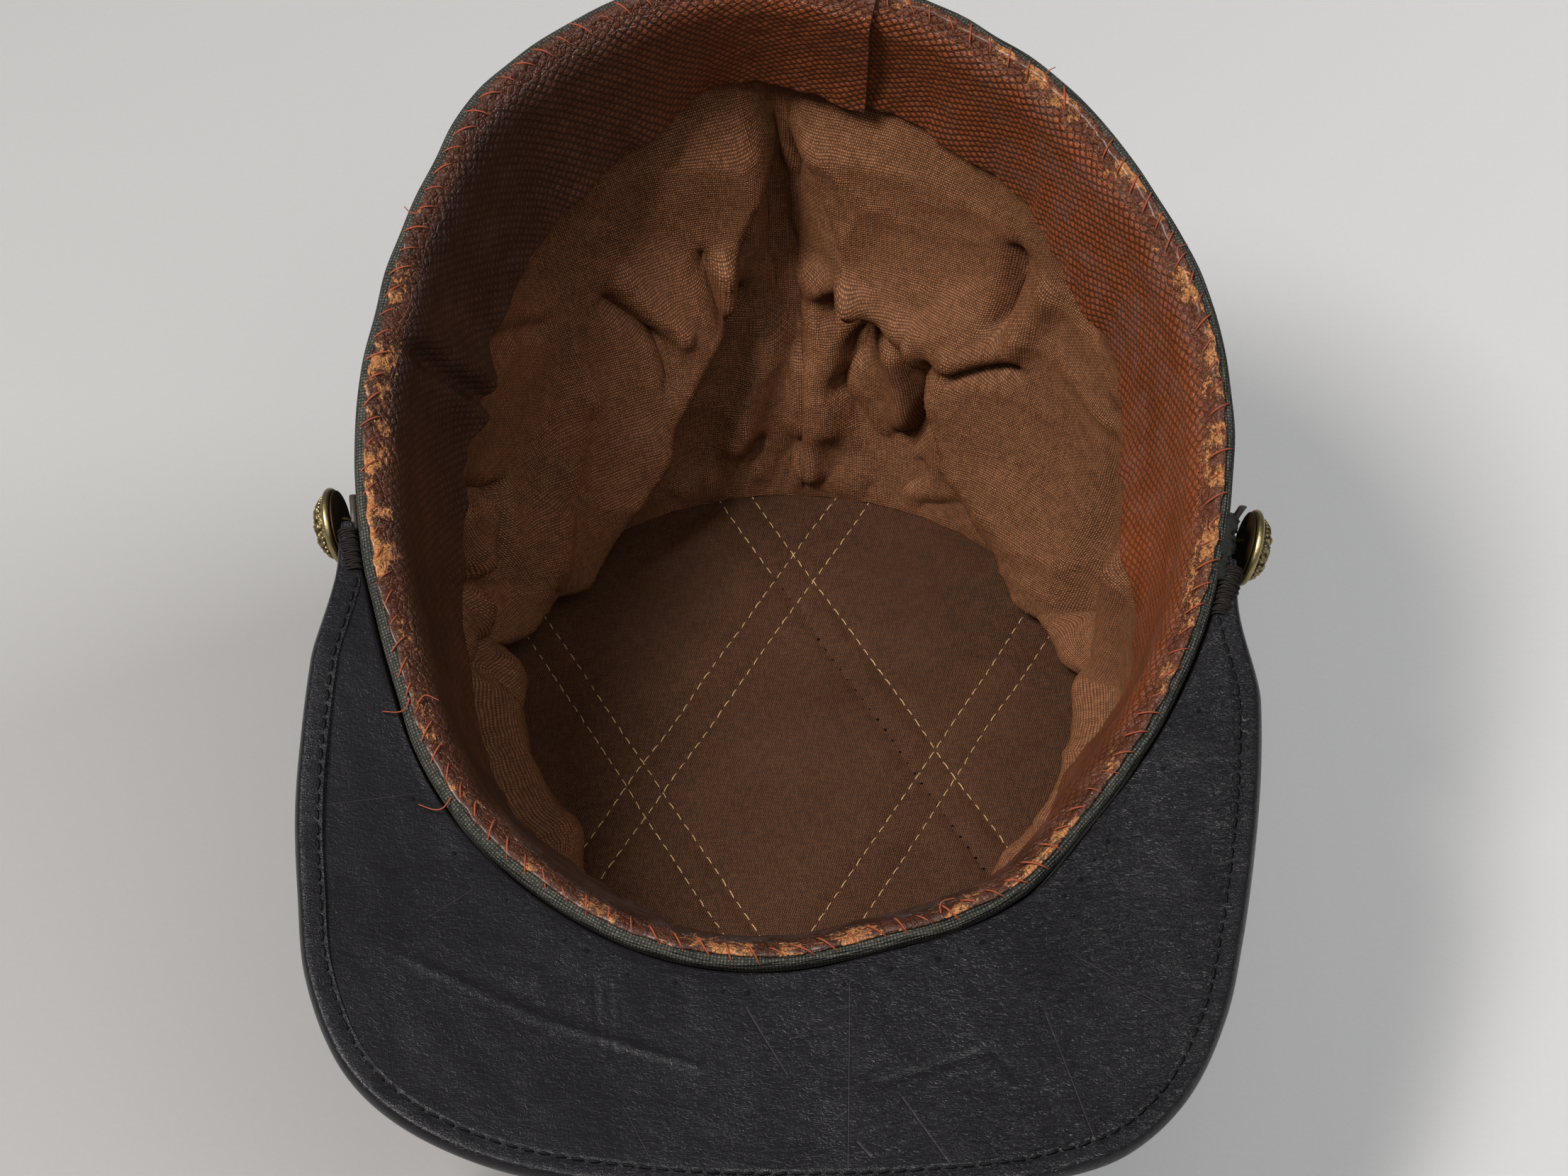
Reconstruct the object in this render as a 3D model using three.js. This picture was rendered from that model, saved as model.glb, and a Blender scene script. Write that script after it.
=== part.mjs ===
// A kepi cap that rests upside down on its crown, with the visor to the front.
// Millimetres, +Z up, X to the right, -Y to the front. The origin lies on the
// surface that the crown rests on, under the middle of the crown tip.

import * as THREE from 'three';
import { mergeVertices } from 'three/addons/utils/BufferGeometryUtils.js';

// Driving dimensions of the cap

const RIM = { halfWidth: 84, front: 106.2, back: 100.2 };   // outside of the base, from its centre
const RIM_CENTRE = { y: -28.2, z: 114.7 };                   // centre of the base above the crown tip
const BASE_SLANT = THREE.MathUtils.degToRad(22.46);          // base against the crown tip
const BAND_HEIGHT = 38;                                      // cloth band round the base
const BAND_TAPER = 6.5;                                      // how far its upper edge leans in
const TIP = { radius: 69.5, thickness: 3, edge: 0.5 };       // stiffened round crown tip
const WALL_FOOT = { radius: 70.5, z: 3.3 };                  // where the side meets the tip
const SIDE_SWELL = { back: 0.15, front: 0.6, handle: 0.33 }; // how the side swells towards the tip
const CROWN_LINING = { radius: 66.4, bottom: 3.3, top: 5.1 }; // quilted disc inside the tip

// Layers of the side, counted inwards from the outside of the band
const BAND = { out: 0, inn: 1.7 };
const WALL = { out: 2.0, inn: 3.6, rimSetBack: 0.8 };
const LINING = { out: 3.9, inn: 4.9, slack: 3.5, least: 1.2, start: -0.4 };
const LINING_SEAM = { top: 0.12, foot: 0.06, lift: 2.1, liftFrom: 0.8 }; // where its folds fade out
const SWEAT = { out: 3.9, thick: 1.4, rise: 0.6, clearLining: 1.4, clearDepth: 6, curl: 1.3 };

const VISOR = { thick: 2.4, seat: 0.4, root: -1.6, droop: THREE.MathUtils.degToRad(11), leastReach: 0.004 };
const HORN = { left: -80, right: 76 };                       // azimuths where the visor's horns end
const BINDING = { wrap: 3.8, thick: 0.7, gap: 0.3, nose: 0.8, clearBand: 0.6 };
const STRAP = { middle: -9, width: 11, thick: 1.3, gap: 0.4, narrowing: 0.25 };
const STRAP_TAB = { length: 7.5, liftLeft: 0.4, liftRight: 2.4 };
const BUTTON = { middle: -9, radius: 7.5, dome: 4.6, lip: 1.1, flat: 0.75, plate: 0.7, rings: 4 };
const BUTTON_SEAT = { stand: 2.8, tilt: 14 };                // how far it stands off the strap, and leans
const BUTTON_AZIMUTH = { left: -81.8, right: 79.7 };
const SHANK = { wire: 0.35, loop: 1.6, root: 0.6, clear: 0.3 };

const AROUND = 64;          // facets round the cap
const SMALL_AROUND = 20;    // facets round a button

// The outline of the base, as a share of the plain oval, by azimuth from the front.
// Plus is the right side. These are the dents that years of storage pressed into the rim.
const RIM_SHAPE = [
  // azimuth, share
  [-180, 1.0], [-150, 1.019], [-135, 1.03], [-122, 1.003], [-104, 0.984], [-95, 0.989],
  [-80, 0.989], [-66, 0.997], [-49, 1.034], [-30, 1.03], [-15, 1.022], [0, 1.005],
  [12, 0.991], [31, 1.012], [43, 0.993], [55, 0.997], [70, 1.004], [100, 1.013],
  [124, 0.987], [140, 0.985], [152, 0.98], [180, 1.0],
];

// The outer edge of the visor, as a share of the plain oval of the base
const VISOR_SHAPE = [
  // azimuth, share
  [-81, 1.028], [-78, 1.06], [-74, 1.09], [-69, 1.13], [-62, 1.213], [-56, 1.299],
  [-50, 1.386], [-45, 1.468], [-39, 1.531], [-34, 1.544], [-27, 1.522], [-13, 1.452],
  [0, 1.427], [11, 1.448], [22, 1.503], [28, 1.529], [34, 1.512], [40, 1.45],
  [45, 1.377], [51, 1.297], [58, 1.218], [65, 1.147], [69, 1.11], [73, 1.072], [77, 1.03],
];

// How far the free edge of the sweatband stands off the side, and how deep it reaches
const SWEAT_SHAPE = [
  // azimuth, stand-off, depth
  [-180, 0.2, 35.5], [-174, 0.2, 34], [-167, 0.3, 37], [-157, 5.2, 38], [-145, 8.2, 38],
  [-132, 8.6, 38], [-118, 7.0, 38], [-110, 7.4, 38.5], [-104, 10.2, 39.5], [-100, 8.2, 38],
  [-91, 7.6, 38], [-82, 6.4, 38], [-74, 4.8, 38], [-65, 2.2, 38], [-55, 2.2, 38],
  [-42, 4.0, 38], [-20, 4.6, 38], [0, 4.0, 38], [31, 2.0, 38], [42, 0.3, 38],
  [53, 3.0, 38], [64, 0.2, 38], [75, 2.6, 38], [85, 7.2, 38], [95, 8.6, 38],
  [105, 6.2, 38], [114, 4.4, 37.5], [120, 5.4, 38], [131, 3.8, 38], [141, 0.9, 38.5],
  [158, 0.3, 38], [168, 0.3, 37.5], [180, 0.2, 35.5],
];
const SWEAT_SEAM = { hidden: 173, seen: 167, rampStart: 184, step: 1.9 };

// Folds of the side lining. Azimuth is in degrees, level runs from 0 at the top of the
// band to 1 at the crown tip, push is in mm towards the head space, and the two widths
// are in mm on the left and right of the way from the start to the end of the fold.
const LINING_FOLDS = [
  // azimuth, level, to azimuth, to level, push, width on the left, width on the right
  [-172, 0.22, -158, 0.52, 9, 6, 26],
  [-158, 0.52, -146, 0.72, 13, 5, 26],
  [-146, 0.72, -124, 0.84, 17, 8, 20],
  [-124, 0.84, -106, 0.87, 12, 8, 12],
  [-100, 0.72, -94, 0.90, 9, 6, 8],
  [-92, 0.88, -52, 0.90, 14, 16, 8],
  [172, 0.16, 163, 0.42, 8, 30, 8],
  [163, 0.42, 150, 0.50, 9, 22, 6],
  [150, 0.50, 140, 0.70, 11, 22, 5],
  [140, 0.70, 118, 0.88, 11, 20, 7],
  [118, 0.88, 102, 0.93, 9, 10, 7],
  [98, 0.56, 94, 0.90, 6, 7, 7],
  [92, 0.93, 48, 0.92, 8, 8, 12],
  [176, 0.58, 176, 0.92, 3, 6, 6],
  [-178, -0.10, 180, 0.55, -6, 4, 5],
  [110, 0.30, 106, 0.84, -5, 6, 6],
];
const LINING_SCALE = { mmPerDegree: 1.15, mmPerLevel: 88 };

// Colours and finishes read off the photograph
const MATERIALS = {
  wool: cloth(0x3c423c),
  lining: cloth(0x5a3e2a),
  sweatLeather: new THREE.MeshStandardMaterial({ color: 0x6e3c22, roughness: 0.55, metalness: 0 }),
  visorLeather: new THREE.MeshStandardMaterial({ color: 0x2b2b30, roughness: 0.35, metalness: 0 }),
  brass: new THREE.MeshStandardMaterial({ color: 0x96824a, roughness: 0.4, metalness: 1 }),
};

function cloth(colour) {
  return new THREE.MeshStandardMaterial({ color: colour, roughness: 0.9, metalness: 0 });
}

// Small helpers

const radians = THREE.MathUtils.degToRad;
const clamp = THREE.MathUtils.clamp;

// A value from a table of [azimuth, value, ...] rows, on a smooth curve through the rows
function fromTable(table, azimuth, column = 1) {
  const at = clamp(azimuth, table[0][0], table[table.length - 1][0]);
  const next = Math.max(1, table.findIndex((row) => row[0] >= at));
  const slope = (row) => {
    const before = table[Math.max(row - 1, 0)];
    const after = table[Math.min(row + 1, table.length - 1)];
    return (after[column] - before[column]) / (after[0] - before[0]);
  };
  const [from, to] = [table[next - 1], table[next]];
  const run = to[0] - from[0];
  const part = (at - from[0]) / run;
  const ease = part * part * (3 - 2 * part);
  return from[column] + (to[column] - from[column]) * ease
    + run * part * (1 - part) * ((1 - part) * slope(next - 1) - part * slope(next));
}

// An azimuth in degrees brought between -180 and 180
function wrapped(azimuth) {
  return ((azimuth + 180) % 360 + 360) % 360 - 180;
}

// The frame of the base: across to the right, forward to the visor, out of the head opening
const ACROSS = new THREE.Vector3(1, 0, 0);
const FORWARD = new THREE.Vector3(0, -Math.cos(BASE_SLANT), -Math.sin(BASE_SLANT));
const OUTWARD = new THREE.Vector3(0, -Math.sin(BASE_SLANT), Math.cos(BASE_SLANT));

function inBase(across, forward, height) {
  return new THREE.Vector3(0, RIM_CENTRE.y, RIM_CENTRE.z)
    .addScaledVector(ACROSS, across)
    .addScaledVector(FORWARD, forward)
    .addScaledVector(OUTWARD, height);
}

function rimPoint(azimuth, share = 1) {
  const angle = radians(azimuth);
  const length = Math.cos(angle) > 0 ? RIM.front : RIM.back;
  const size = share * fromTable(RIM_SHAPE, wrapped(azimuth));
  return new THREE.Vector2(RIM.halfWidth * Math.sin(angle) * size, length * Math.cos(angle) * size);
}

// The direction towards the head space, square to the rim, in the plane of the base
function rimInward(azimuth) {
  const step = 3;
  const along = rimPoint(azimuth + step).sub(rimPoint(azimuth - step));
  return new THREE.Vector2(-along.y, along.x).negate().normalize();
}

// A point of the side. Level runs from -1 at the rim through 0 at the top of the band
// to 1 at the crown tip, and inset is the distance inwards from the outermost layer.
function sidePoint(azimuth, level, inset) {
  const angle = radians(azimuth);
  const rim = rimPoint(azimuth);
  const inward2 = rimInward(azimuth);
  const inward = ACROSS.clone().multiplyScalar(inward2.x).addScaledVector(FORWARD, inward2.y);
  const taper = BAND_TAPER * Math.cos(angle / 2);
  const bandShare = clamp(level + 1, 0, 1);
  const onBand = inBase(rim.x, rim.y, -BAND_HEIGHT * bandShare)
    .addScaledVector(inward, Math.abs(taper) * bandShare);
  if (level <= 0) return onBand.addScaledVector(inward, inset);

  const foot = new THREE.Vector3(
    WALL_FOOT.radius * Math.sin(angle), -WALL_FOOT.radius * Math.cos(angle), WALL_FOOT.z);
  const swell = SIDE_SWELL.back + SIDE_SWELL.front * (1 + Math.cos(angle)) ** 2;
  const rise = new THREE.Vector3(swell * Math.sin(angle), -swell * Math.cos(angle), 1).normalize();
  const reach = SIDE_SWELL.handle * foot.distanceTo(onBand);
  const curve = new THREE.CubicBezierCurve3(
    onBand,
    onBand.clone().addScaledVector(OUTWARD, -reach),
    foot.clone().addScaledVector(rise, reach),
    foot);
  const towardsAxis = new THREE.Vector3(-Math.sin(angle), Math.cos(angle), 0);
  const offset = inward.clone().lerp(towardsAxis, level).normalize();
  return curve.getPoint(level).addScaledVector(offset, inset);
}

// A closed shell from two grids of points, point(column, row, side), where side 0 is the
// outer face and side 1 the inner one. A ring joins its last column to its first.
function shell(columns, rows, ring, point) {
  const positions = [];
  const columnCount = ring ? columns : columns + 1;
  for (let side = 0; side < 2; side += 1) {
    for (let column = 0; column < columnCount; column += 1) {
      for (let row = 0; row <= rows; row += 1) {
        positions.push(...point(column, row, side).toArray());
      }
    }
  }
  const at = (column, row, side) => (side * columnCount + (column % columnCount)) * (rows + 1) + row;
  const faces = [];
  const quad = (a, b, c, d) => faces.push(a, b, c, a, c, d);
  for (let column = 0; column < columns; column += 1) {
    const next = column + 1;
    for (let row = 0; row < rows; row += 1) {
      quad(at(column, row, 0), at(next, row, 0), at(next, row + 1, 0), at(column, row + 1, 0));
      quad(at(column, row, 1), at(column, row + 1, 1), at(next, row + 1, 1), at(next, row, 1));
    }
    quad(at(column, 0, 1), at(next, 0, 1), at(next, 0, 0), at(column, 0, 0));
    quad(at(column, rows, 0), at(next, rows, 0), at(next, rows, 1), at(column, rows, 1));
  }
  if (!ring) {
    for (let row = 0; row < rows; row += 1) {
      quad(at(0, row, 0), at(0, row + 1, 0), at(0, row + 1, 1), at(0, row, 1));
      quad(at(columns, row, 1), at(columns, row + 1, 1), at(columns, row + 1, 0), at(columns, row, 0));
    }
  }
  return closedBody(positions, faces);
}

// A closed body from a section carried along stations, point(station, corner)
function sweep(stations, corners, point) {
  const positions = [];
  for (let station = 0; station <= stations; station += 1) {
    for (let corner = 0; corner < corners; corner += 1) {
      positions.push(...point(station, corner).toArray());
    }
  }
  const at = (station, corner) => station * corners + (corner % corners);
  const faces = [];
  for (let station = 0; station < stations; station += 1) {
    for (let corner = 0; corner < corners; corner += 1) {
      faces.push(at(station, corner), at(station + 1, corner), at(station + 1, corner + 1));
      faces.push(at(station, corner), at(station + 1, corner + 1), at(station, corner + 1));
    }
  }
  return { positions, faces, at };
}

// The geometry with its faces turned outwards
function closedBody(positions, faces) {
  const corner = (index) => new THREE.Vector3().fromArray(positions, index * 3);
  let volume = 0;
  for (let face = 0; face < faces.length; face += 3) {
    const [a, b, c] = [corner(faces[face]), corner(faces[face + 1]), corner(faces[face + 2])];
    volume += a.dot(b.cross(c));
  }
  if (volume < 0) {
    for (let face = 0; face < faces.length; face += 3) {
      [faces[face + 1], faces[face + 2]] = [faces[face + 2], faces[face + 1]];
    }
  }
  const geometry = new THREE.BufferGeometry();
  geometry.setAttribute('position', new THREE.Float32BufferAttribute(positions, 3));
  geometry.setIndex(faces);
  return geometry;
}

// A solid of revolution about Z from [radius, height] rows that start and end on the axis
function turned(rows, segments) {
  const profile = rows.map(([radius, height]) => new THREE.Vector2(radius, height));
  const lathe = new THREE.LatheGeometry(profile, segments);
  lathe.rotateX(Math.PI / 2);
  lathe.deleteAttribute('normal');
  lathe.deleteAttribute('uv');
  const merged = mergeVertices(lathe, 1e-4);
  const whole = [];
  const index = merged.index.array;
  for (let face = 0; face < index.length; face += 3) {
    const [a, b, c] = [index[face], index[face + 1], index[face + 2]];
    if (a !== b && b !== c && c !== a) whole.push(a, b, c);
  }
  return closedBody(Array.from(merged.attributes.position.array), whole);
}

const ringAzimuth = (column) => -180 + (360 * column) / AROUND;

// The crown

function crownTip() {
  const { radius, thickness, edge } = TIP;
  return turned([
    [0, 0], [radius - edge, 0], [radius, edge], [radius, thickness], [0, thickness],
  ], AROUND);
}

function crownLining() {
  const { radius, bottom, top } = CROWN_LINING;
  return turned([[0, bottom], [radius, bottom], [radius, top], [0, top]], AROUND);
}

function sideWall() {
  const levels = [-1 + WALL.rimSetBack / BAND_HEIGHT, -0.4, 0, 0.2, 0.4, 0.6, 0.8, 1];
  return shell(AROUND, levels.length - 1, true, (column, row, side) =>
    sidePoint(ringAzimuth(column), levels[row], side ? WALL.inn : WALL.out));
}

function baseBand() {
  const levels = [-1, -0.5, 0];
  return shell(AROUND, levels.length - 1, true, (column, row, side) =>
    sidePoint(ringAzimuth(column), levels[row], side ? BAND.inn : BAND.out));
}

// The push of one fold at a place of the lining: full along the fold, and fading with
// the distance from it by its own width on each side
function foldPush([azimuth, level, toAzimuth, toLevel, push, leftWidth, rightWidth], at, atLevel) {
  const turn = wrapped(toAzimuth - azimuth);
  const along = new THREE.Vector2(
    turn * LINING_SCALE.mmPerDegree, (toLevel - level) * LINING_SCALE.mmPerLevel);
  const away = new THREE.Vector2(
    wrapped(at - azimuth) * LINING_SCALE.mmPerDegree, (atLevel - level) * LINING_SCALE.mmPerLevel);
  const part = clamp(away.dot(along) / along.lengthSq(), 0, 1);
  away.addScaledVector(along, -part);
  const distance = away.length();
  const turnedLeft = distance > 0 ? along.cross(away) / (along.length() * distance) : 0;
  const width = (leftWidth * (1 + turnedLeft) + rightWidth * (1 - turnedLeft)) / 2;
  return push * Math.exp(-((distance / width) ** 2));
}

function liningInset(azimuth, level) {
  const free = clamp(level / LINING_SEAM.top, 0, 1) * clamp((1 - level) / LINING_SEAM.foot, 0, 1);
  const inwards = LINING_FOLDS.filter((fold) => fold[4] > 0)
    .reduce((most, fold) => Math.max(most, foldPush(fold, azimuth, level)), 0);
  const outwards = LINING_FOLDS.filter((fold) => fold[4] < 0)
    .reduce((sum, fold) => sum + foldPush(fold, azimuth, level), 0);
  const slack = LINING.slack * Math.sin(Math.PI * clamp(level, 0, 1));
  return free * Math.max(slack + inwards + outwards, LINING.least);
}

function sideLining() {
  const levels = [LINING.start, 0, 0.1, 0.2, 0.3, 0.4, 0.5, 0.6, 0.7, 0.79, 0.87, 0.94, 1];
  return shell(AROUND, levels.length - 1, true, (column, row, side) => {
    const azimuth = ringAzimuth(column);
    const layer = side ? LINING.inn : LINING.out;
    const { lift, liftFrom } = LINING_SEAM;
    const raised = lift * clamp((levels[row] - liftFrom) / (1 - liftFrom), 0, 1);
    const place = sidePoint(azimuth, levels[row], layer + liningInset(azimuth, levels[row]));
    return place.add(new THREE.Vector3(0, 0, raised));
  });
}

// The sweatband: a leather strip along the inside of the rim whose ends lap at the back
function sweatPoint(azimuth, part, layer, lap) {
  const at = wrapped(azimuth);
  const standOff = fromTable(SWEAT_SHAPE, at, 1);
  const depth = fromTable(SWEAT_SHAPE, at, 2);
  const height = SWEAT.rise - (depth + SWEAT.rise) * part;
  const level = -1 - height / BAND_HEIGHT;
  const clear = SWEAT.clearLining * clamp(-height / SWEAT.clearDepth, 0, 1);
  const extra = clear + standOff * part ** SWEAT.curl;
  const inset = SWEAT.out + extra + layer + lap;
  if (level <= -1) return sidePoint(azimuth, -1, inset).addScaledVector(OUTWARD, height);
  const below = Math.max(level, 0) * BAND_HEIGHT;
  return sidePoint(azimuth, Math.min(level, 0), inset).addScaledVector(OUTWARD, -below);
}

function sweatband() {
  const { hidden, seen, rampStart, step } = SWEAT_SEAM;
  const whole = 360 + hidden - seen;
  const parts = [0, 0.12, 0.35, 0.6, 0.8, 1];
  return shell(AROUND, parts.length - 1, false, (column, row, side) => {
    const travelled = (whole * column) / AROUND;
    const lapped = clamp((travelled - (360 + hidden - rampStart)) / (rampStart - hidden), 0, 1);
    return sweatPoint(hidden - travelled, parts[row], side * SWEAT.thick, step * lapped);
  });
}

// The visor: a flat leather plate that slopes away from the front of the band

function visorMiddle(azimuth, share) {
  const angle = radians(azimuth);
  const plainOval = new THREE.Vector2(RIM.halfWidth * Math.sin(angle), RIM.front * Math.cos(angle));
  const rootShare = fromTable(RIM_SHAPE, azimuth) + VISOR.seat / plainOval.length();
  const edgeShare = fromTable(VISOR_SHAPE, azimuth) - BINDING.nose / plainOval.length();
  const reach = Math.max(edgeShare - rootShare, VISOR.leastReach);
  const place = plainOval.clone().multiplyScalar(rootShare + reach * share);
  const distance = reach * share * plainOval.length();
  const height = VISOR.root + distance * Math.tan(VISOR.droop);
  return inBase(place.x, place.y, height);
}

const visorAzimuth = (column, columns) => HORN.left + ((HORN.right - HORN.left) * column) / columns;

function visor() {
  const columns = 46;
  const rows = 4;
  return shell(columns, rows, false, (column, row, side) =>
    visorMiddle(visorAzimuth(column, columns), row / rows)
      .addScaledVector(OUTWARD, (side - 0.5) * VISOR.thick));
}

// The binding: a strip folded round the outer edge of the visor
function visorBinding() {
  const stations = 46;
  const inner = VISOR.thick / 2 + BINDING.gap;
  const outer = inner + BINDING.thick;
  const nose = BINDING.gap + BINDING.thick;
  const section = [
    // out from the edge of the plate, up from its middle
    [-BINDING.wrap, -outer], [nose - BINDING.thick, -outer], [nose, -inner / 2], [nose, inner / 2],
    [nose - BINDING.thick, outer], [-BINDING.wrap, outer], [-BINDING.wrap, inner],
    [BINDING.gap, inner], [BINDING.gap, -inner], [-BINDING.wrap, -inner],
  ];
  const outline = sweep(stations, section.length, (station, corner) => {
    const azimuth = visorAzimuth(station, stations);
    const edge = visorMiddle(azimuth, 1);
    const root = visorMiddle(azimuth, 0);
    const step = 1.5;
    const along = visorMiddle(Math.min(azimuth + step, HORN.right), 1)
      .sub(visorMiddle(Math.max(azimuth - step, HORN.left), 1)).normalize();
    const away = edge.clone().sub(root);
    away.addScaledVector(along, -away.dot(along)).normalize();
    const up = along.clone().cross(away).normalize();
    if (up.dot(OUTWARD) < 0) up.negate();
    const room = Math.max(edge.distanceTo(root) - BINDING.clearBand, BINDING.clearBand);
    const [out, height] = section[corner];
    return edge.addScaledVector(away, Math.max(out, -room)).addScaledVector(up, height);
  });
  const { positions, faces, at } = outline;
  const half = section.length / 2;
  for (const station of [0, stations]) {
    for (let corner = 0; corner < half - 1; corner += 1) {
      const last = section.length - 1;
      const quad = [at(station, corner), at(station, corner + 1),
        at(station, last - corner - 1), at(station, last - corner)];
      if (station) quad.reverse();
      faces.push(quad[0], quad[1], quad[2], quad[0], quad[2], quad[3]);
    }
  }
  return closedBody(positions, faces);
}

// The chin strap: flat leather round the front of the band from button to button,
// with a tab past each button that stands off a little
function chinStrap() {
  const columns = 44;
  const rows = 1;
  const past = STRAP_TAB.length / LINING_SCALE.mmPerDegree;
  const from = BUTTON_AZIMUTH.left - past;
  const to = BUTTON_AZIMUTH.right + past;
  return shell(columns, rows, false, (column, row, side) => {
    const azimuth = from + ((to - from) * column) / columns;
    const leftTab = clamp((BUTTON_AZIMUTH.left - azimuth) / past, 0, 1);
    const rightTab = clamp((azimuth - BUTTON_AZIMUTH.right) / past, 0, 1);
    const width = STRAP.width * (1 - STRAP.narrowing * (leftTab + rightTab));
    const height = STRAP.middle + (row - 0.5) * width;
    const lift = STRAP_TAB.liftLeft * leftTab ** 2 + STRAP_TAB.liftRight * rightTab ** 2;
    const outset = STRAP.gap + (side ? 0 : STRAP.thick) + lift;
    return sidePoint(azimuth, -1 - height / BAND_HEIGHT, -outset);
  });
}

// The two dome buttons that hold the strap, each of a face, a back plate and a shank

function buttonFace() {
  const { radius, dome, lip, flat, rings } = BUTTON;
  const shoulder = radius - flat;
  const rows = [[0, flat], [radius - flat / 2, flat], [radius, lip], [shoulder + flat / 2, lip + flat]];
  for (let ring = 0; ring < rings; ring += 1) {
    const turn = (ring / rings) * (Math.PI / 2);
    rows.push([shoulder * Math.cos(turn), lip + flat + (dome - lip - flat) * Math.sin(turn)]);
  }
  rows.push([0, dome]);
  return turned(rows, SMALL_AROUND);
}

function buttonBack() {
  const radius = BUTTON.radius - BUTTON.flat;
  const half = BUTTON.plate / 2;
  return turned([[0, -half], [radius - half, -half], [radius, 0], [radius, half], [0, half]], SMALL_AROUND);
}

// The shank: a wire loop from the back plate down to the strap
function buttonShank() {
  const stations = 10;
  const corners = 8;
  const foot = BUTTON_SEAT.stand - SHANK.clear;
  const outline = sweep(stations, corners, (station, corner) => {
    const turn = (Math.PI * station) / stations;
    const around = (2 * Math.PI * corner) / corners;
    const centre = new THREE.Vector3(
      SHANK.loop * Math.cos(turn), 0, -SHANK.root - (foot - SHANK.root - SHANK.wire) * Math.sin(turn));
    const out = new THREE.Vector3(Math.cos(turn), 0, -Math.sin(turn));
    return centre.addScaledVector(out, SHANK.wire * Math.cos(around))
      .add(new THREE.Vector3(0, SHANK.wire * Math.sin(around), 0));
  });
  const { positions, faces, at } = outline;
  for (let corner = 1; corner < corners - 1; corner += 1) {
    faces.push(at(0, 0), at(0, corner), at(0, corner + 1));
    faces.push(at(stations, 0), at(stations, corner + 1), at(stations, corner));
  }
  return closedBody(positions, faces);
}

// The group of one button, with +Z along its axis and its origin at the back plate.
// The button leans towards the crown by its own tilt.
function button(name) {
  const azimuth = BUTTON_AZIMUTH[name];
  const inward = rimInward(azimuth);
  const lean = radians(BUTTON_SEAT.tilt);
  const axis = ACROSS.clone().multiplyScalar(-inward.x).addScaledVector(FORWARD, -inward.y)
    .multiplyScalar(Math.cos(lean)).addScaledVector(OUTWARD, -Math.sin(lean));
  const clear = STRAP.gap + STRAP.thick + BUTTON_SEAT.stand;
  const seat = sidePoint(azimuth, -1 - BUTTON.middle / BAND_HEIGHT, 0);
  const group = new THREE.Group();
  group.position.copy(seat).addScaledVector(axis, clear);
  group.quaternion.setFromUnitVectors(new THREE.Vector3(0, 0, 1), axis);
  group.add(piece(`button_face_${name}`, buttonFace(), MATERIALS.brass));
  group.add(piece(`button_back_${name}`, buttonBack(), MATERIALS.brass));
  group.add(piece(`button_shank_${name}`, buttonShank(), MATERIALS.brass));
  return group;
}

function piece(name, geometry, material) {
  const mesh = new THREE.Mesh(geometry, material);
  mesh.name = name;
  return mesh;
}

const kepi = new THREE.Group();
kepi.add(
  piece('crown_tip', crownTip(), MATERIALS.wool),
  piece('side_wall', sideWall(), MATERIALS.wool),
  piece('base_band', baseBand(), MATERIALS.wool),
  piece('crown_lining', crownLining(), MATERIALS.lining),
  piece('side_lining', sideLining(), MATERIALS.lining),
  piece('sweatband', sweatband(), MATERIALS.sweatLeather),
  piece('visor', visor(), MATERIALS.visorLeather),
  piece('visor_binding', visorBinding(), MATERIALS.visorLeather),
  piece('chin_strap', chinStrap(), MATERIALS.visorLeather),
  button('left'),
  button('right'),
);
kepi.updateMatrixWorld(true);

export default kepi;
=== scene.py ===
"""The looks of a kepi cap that rests upside down on its crown.

Cloth, leather, thread and brass are put round the solid model of the cap. Everything is in
metres, with +Z up, X to the right and -Y to the front, as in the model.
"""

import math
from types import SimpleNamespace

import bpy
import numpy as np
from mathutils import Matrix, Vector


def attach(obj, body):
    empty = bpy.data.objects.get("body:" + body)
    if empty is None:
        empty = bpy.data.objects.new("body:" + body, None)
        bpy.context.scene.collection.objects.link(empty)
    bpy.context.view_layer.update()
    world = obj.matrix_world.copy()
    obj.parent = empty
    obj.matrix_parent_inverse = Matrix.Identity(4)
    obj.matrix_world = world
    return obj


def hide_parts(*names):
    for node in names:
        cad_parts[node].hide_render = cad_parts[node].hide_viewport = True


bl_info = {
    "name": "Kepi cap looks",
    "version": (1, 0, 0),
    "blender": (4, 5, 0),
    "location": "3D View > Sidebar > Kepi",
    "description": "Dresses the solid model of a kepi cap in cloth, leather, thread and brass",
    "category": "Object",
}

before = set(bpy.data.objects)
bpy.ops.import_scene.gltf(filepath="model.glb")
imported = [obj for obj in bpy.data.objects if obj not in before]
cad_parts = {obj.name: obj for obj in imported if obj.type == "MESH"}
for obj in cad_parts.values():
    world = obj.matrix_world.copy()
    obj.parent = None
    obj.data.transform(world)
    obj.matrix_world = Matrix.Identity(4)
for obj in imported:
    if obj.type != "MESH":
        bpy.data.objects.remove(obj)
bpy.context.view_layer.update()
BODY = "root"
MM = 0.001

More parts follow.
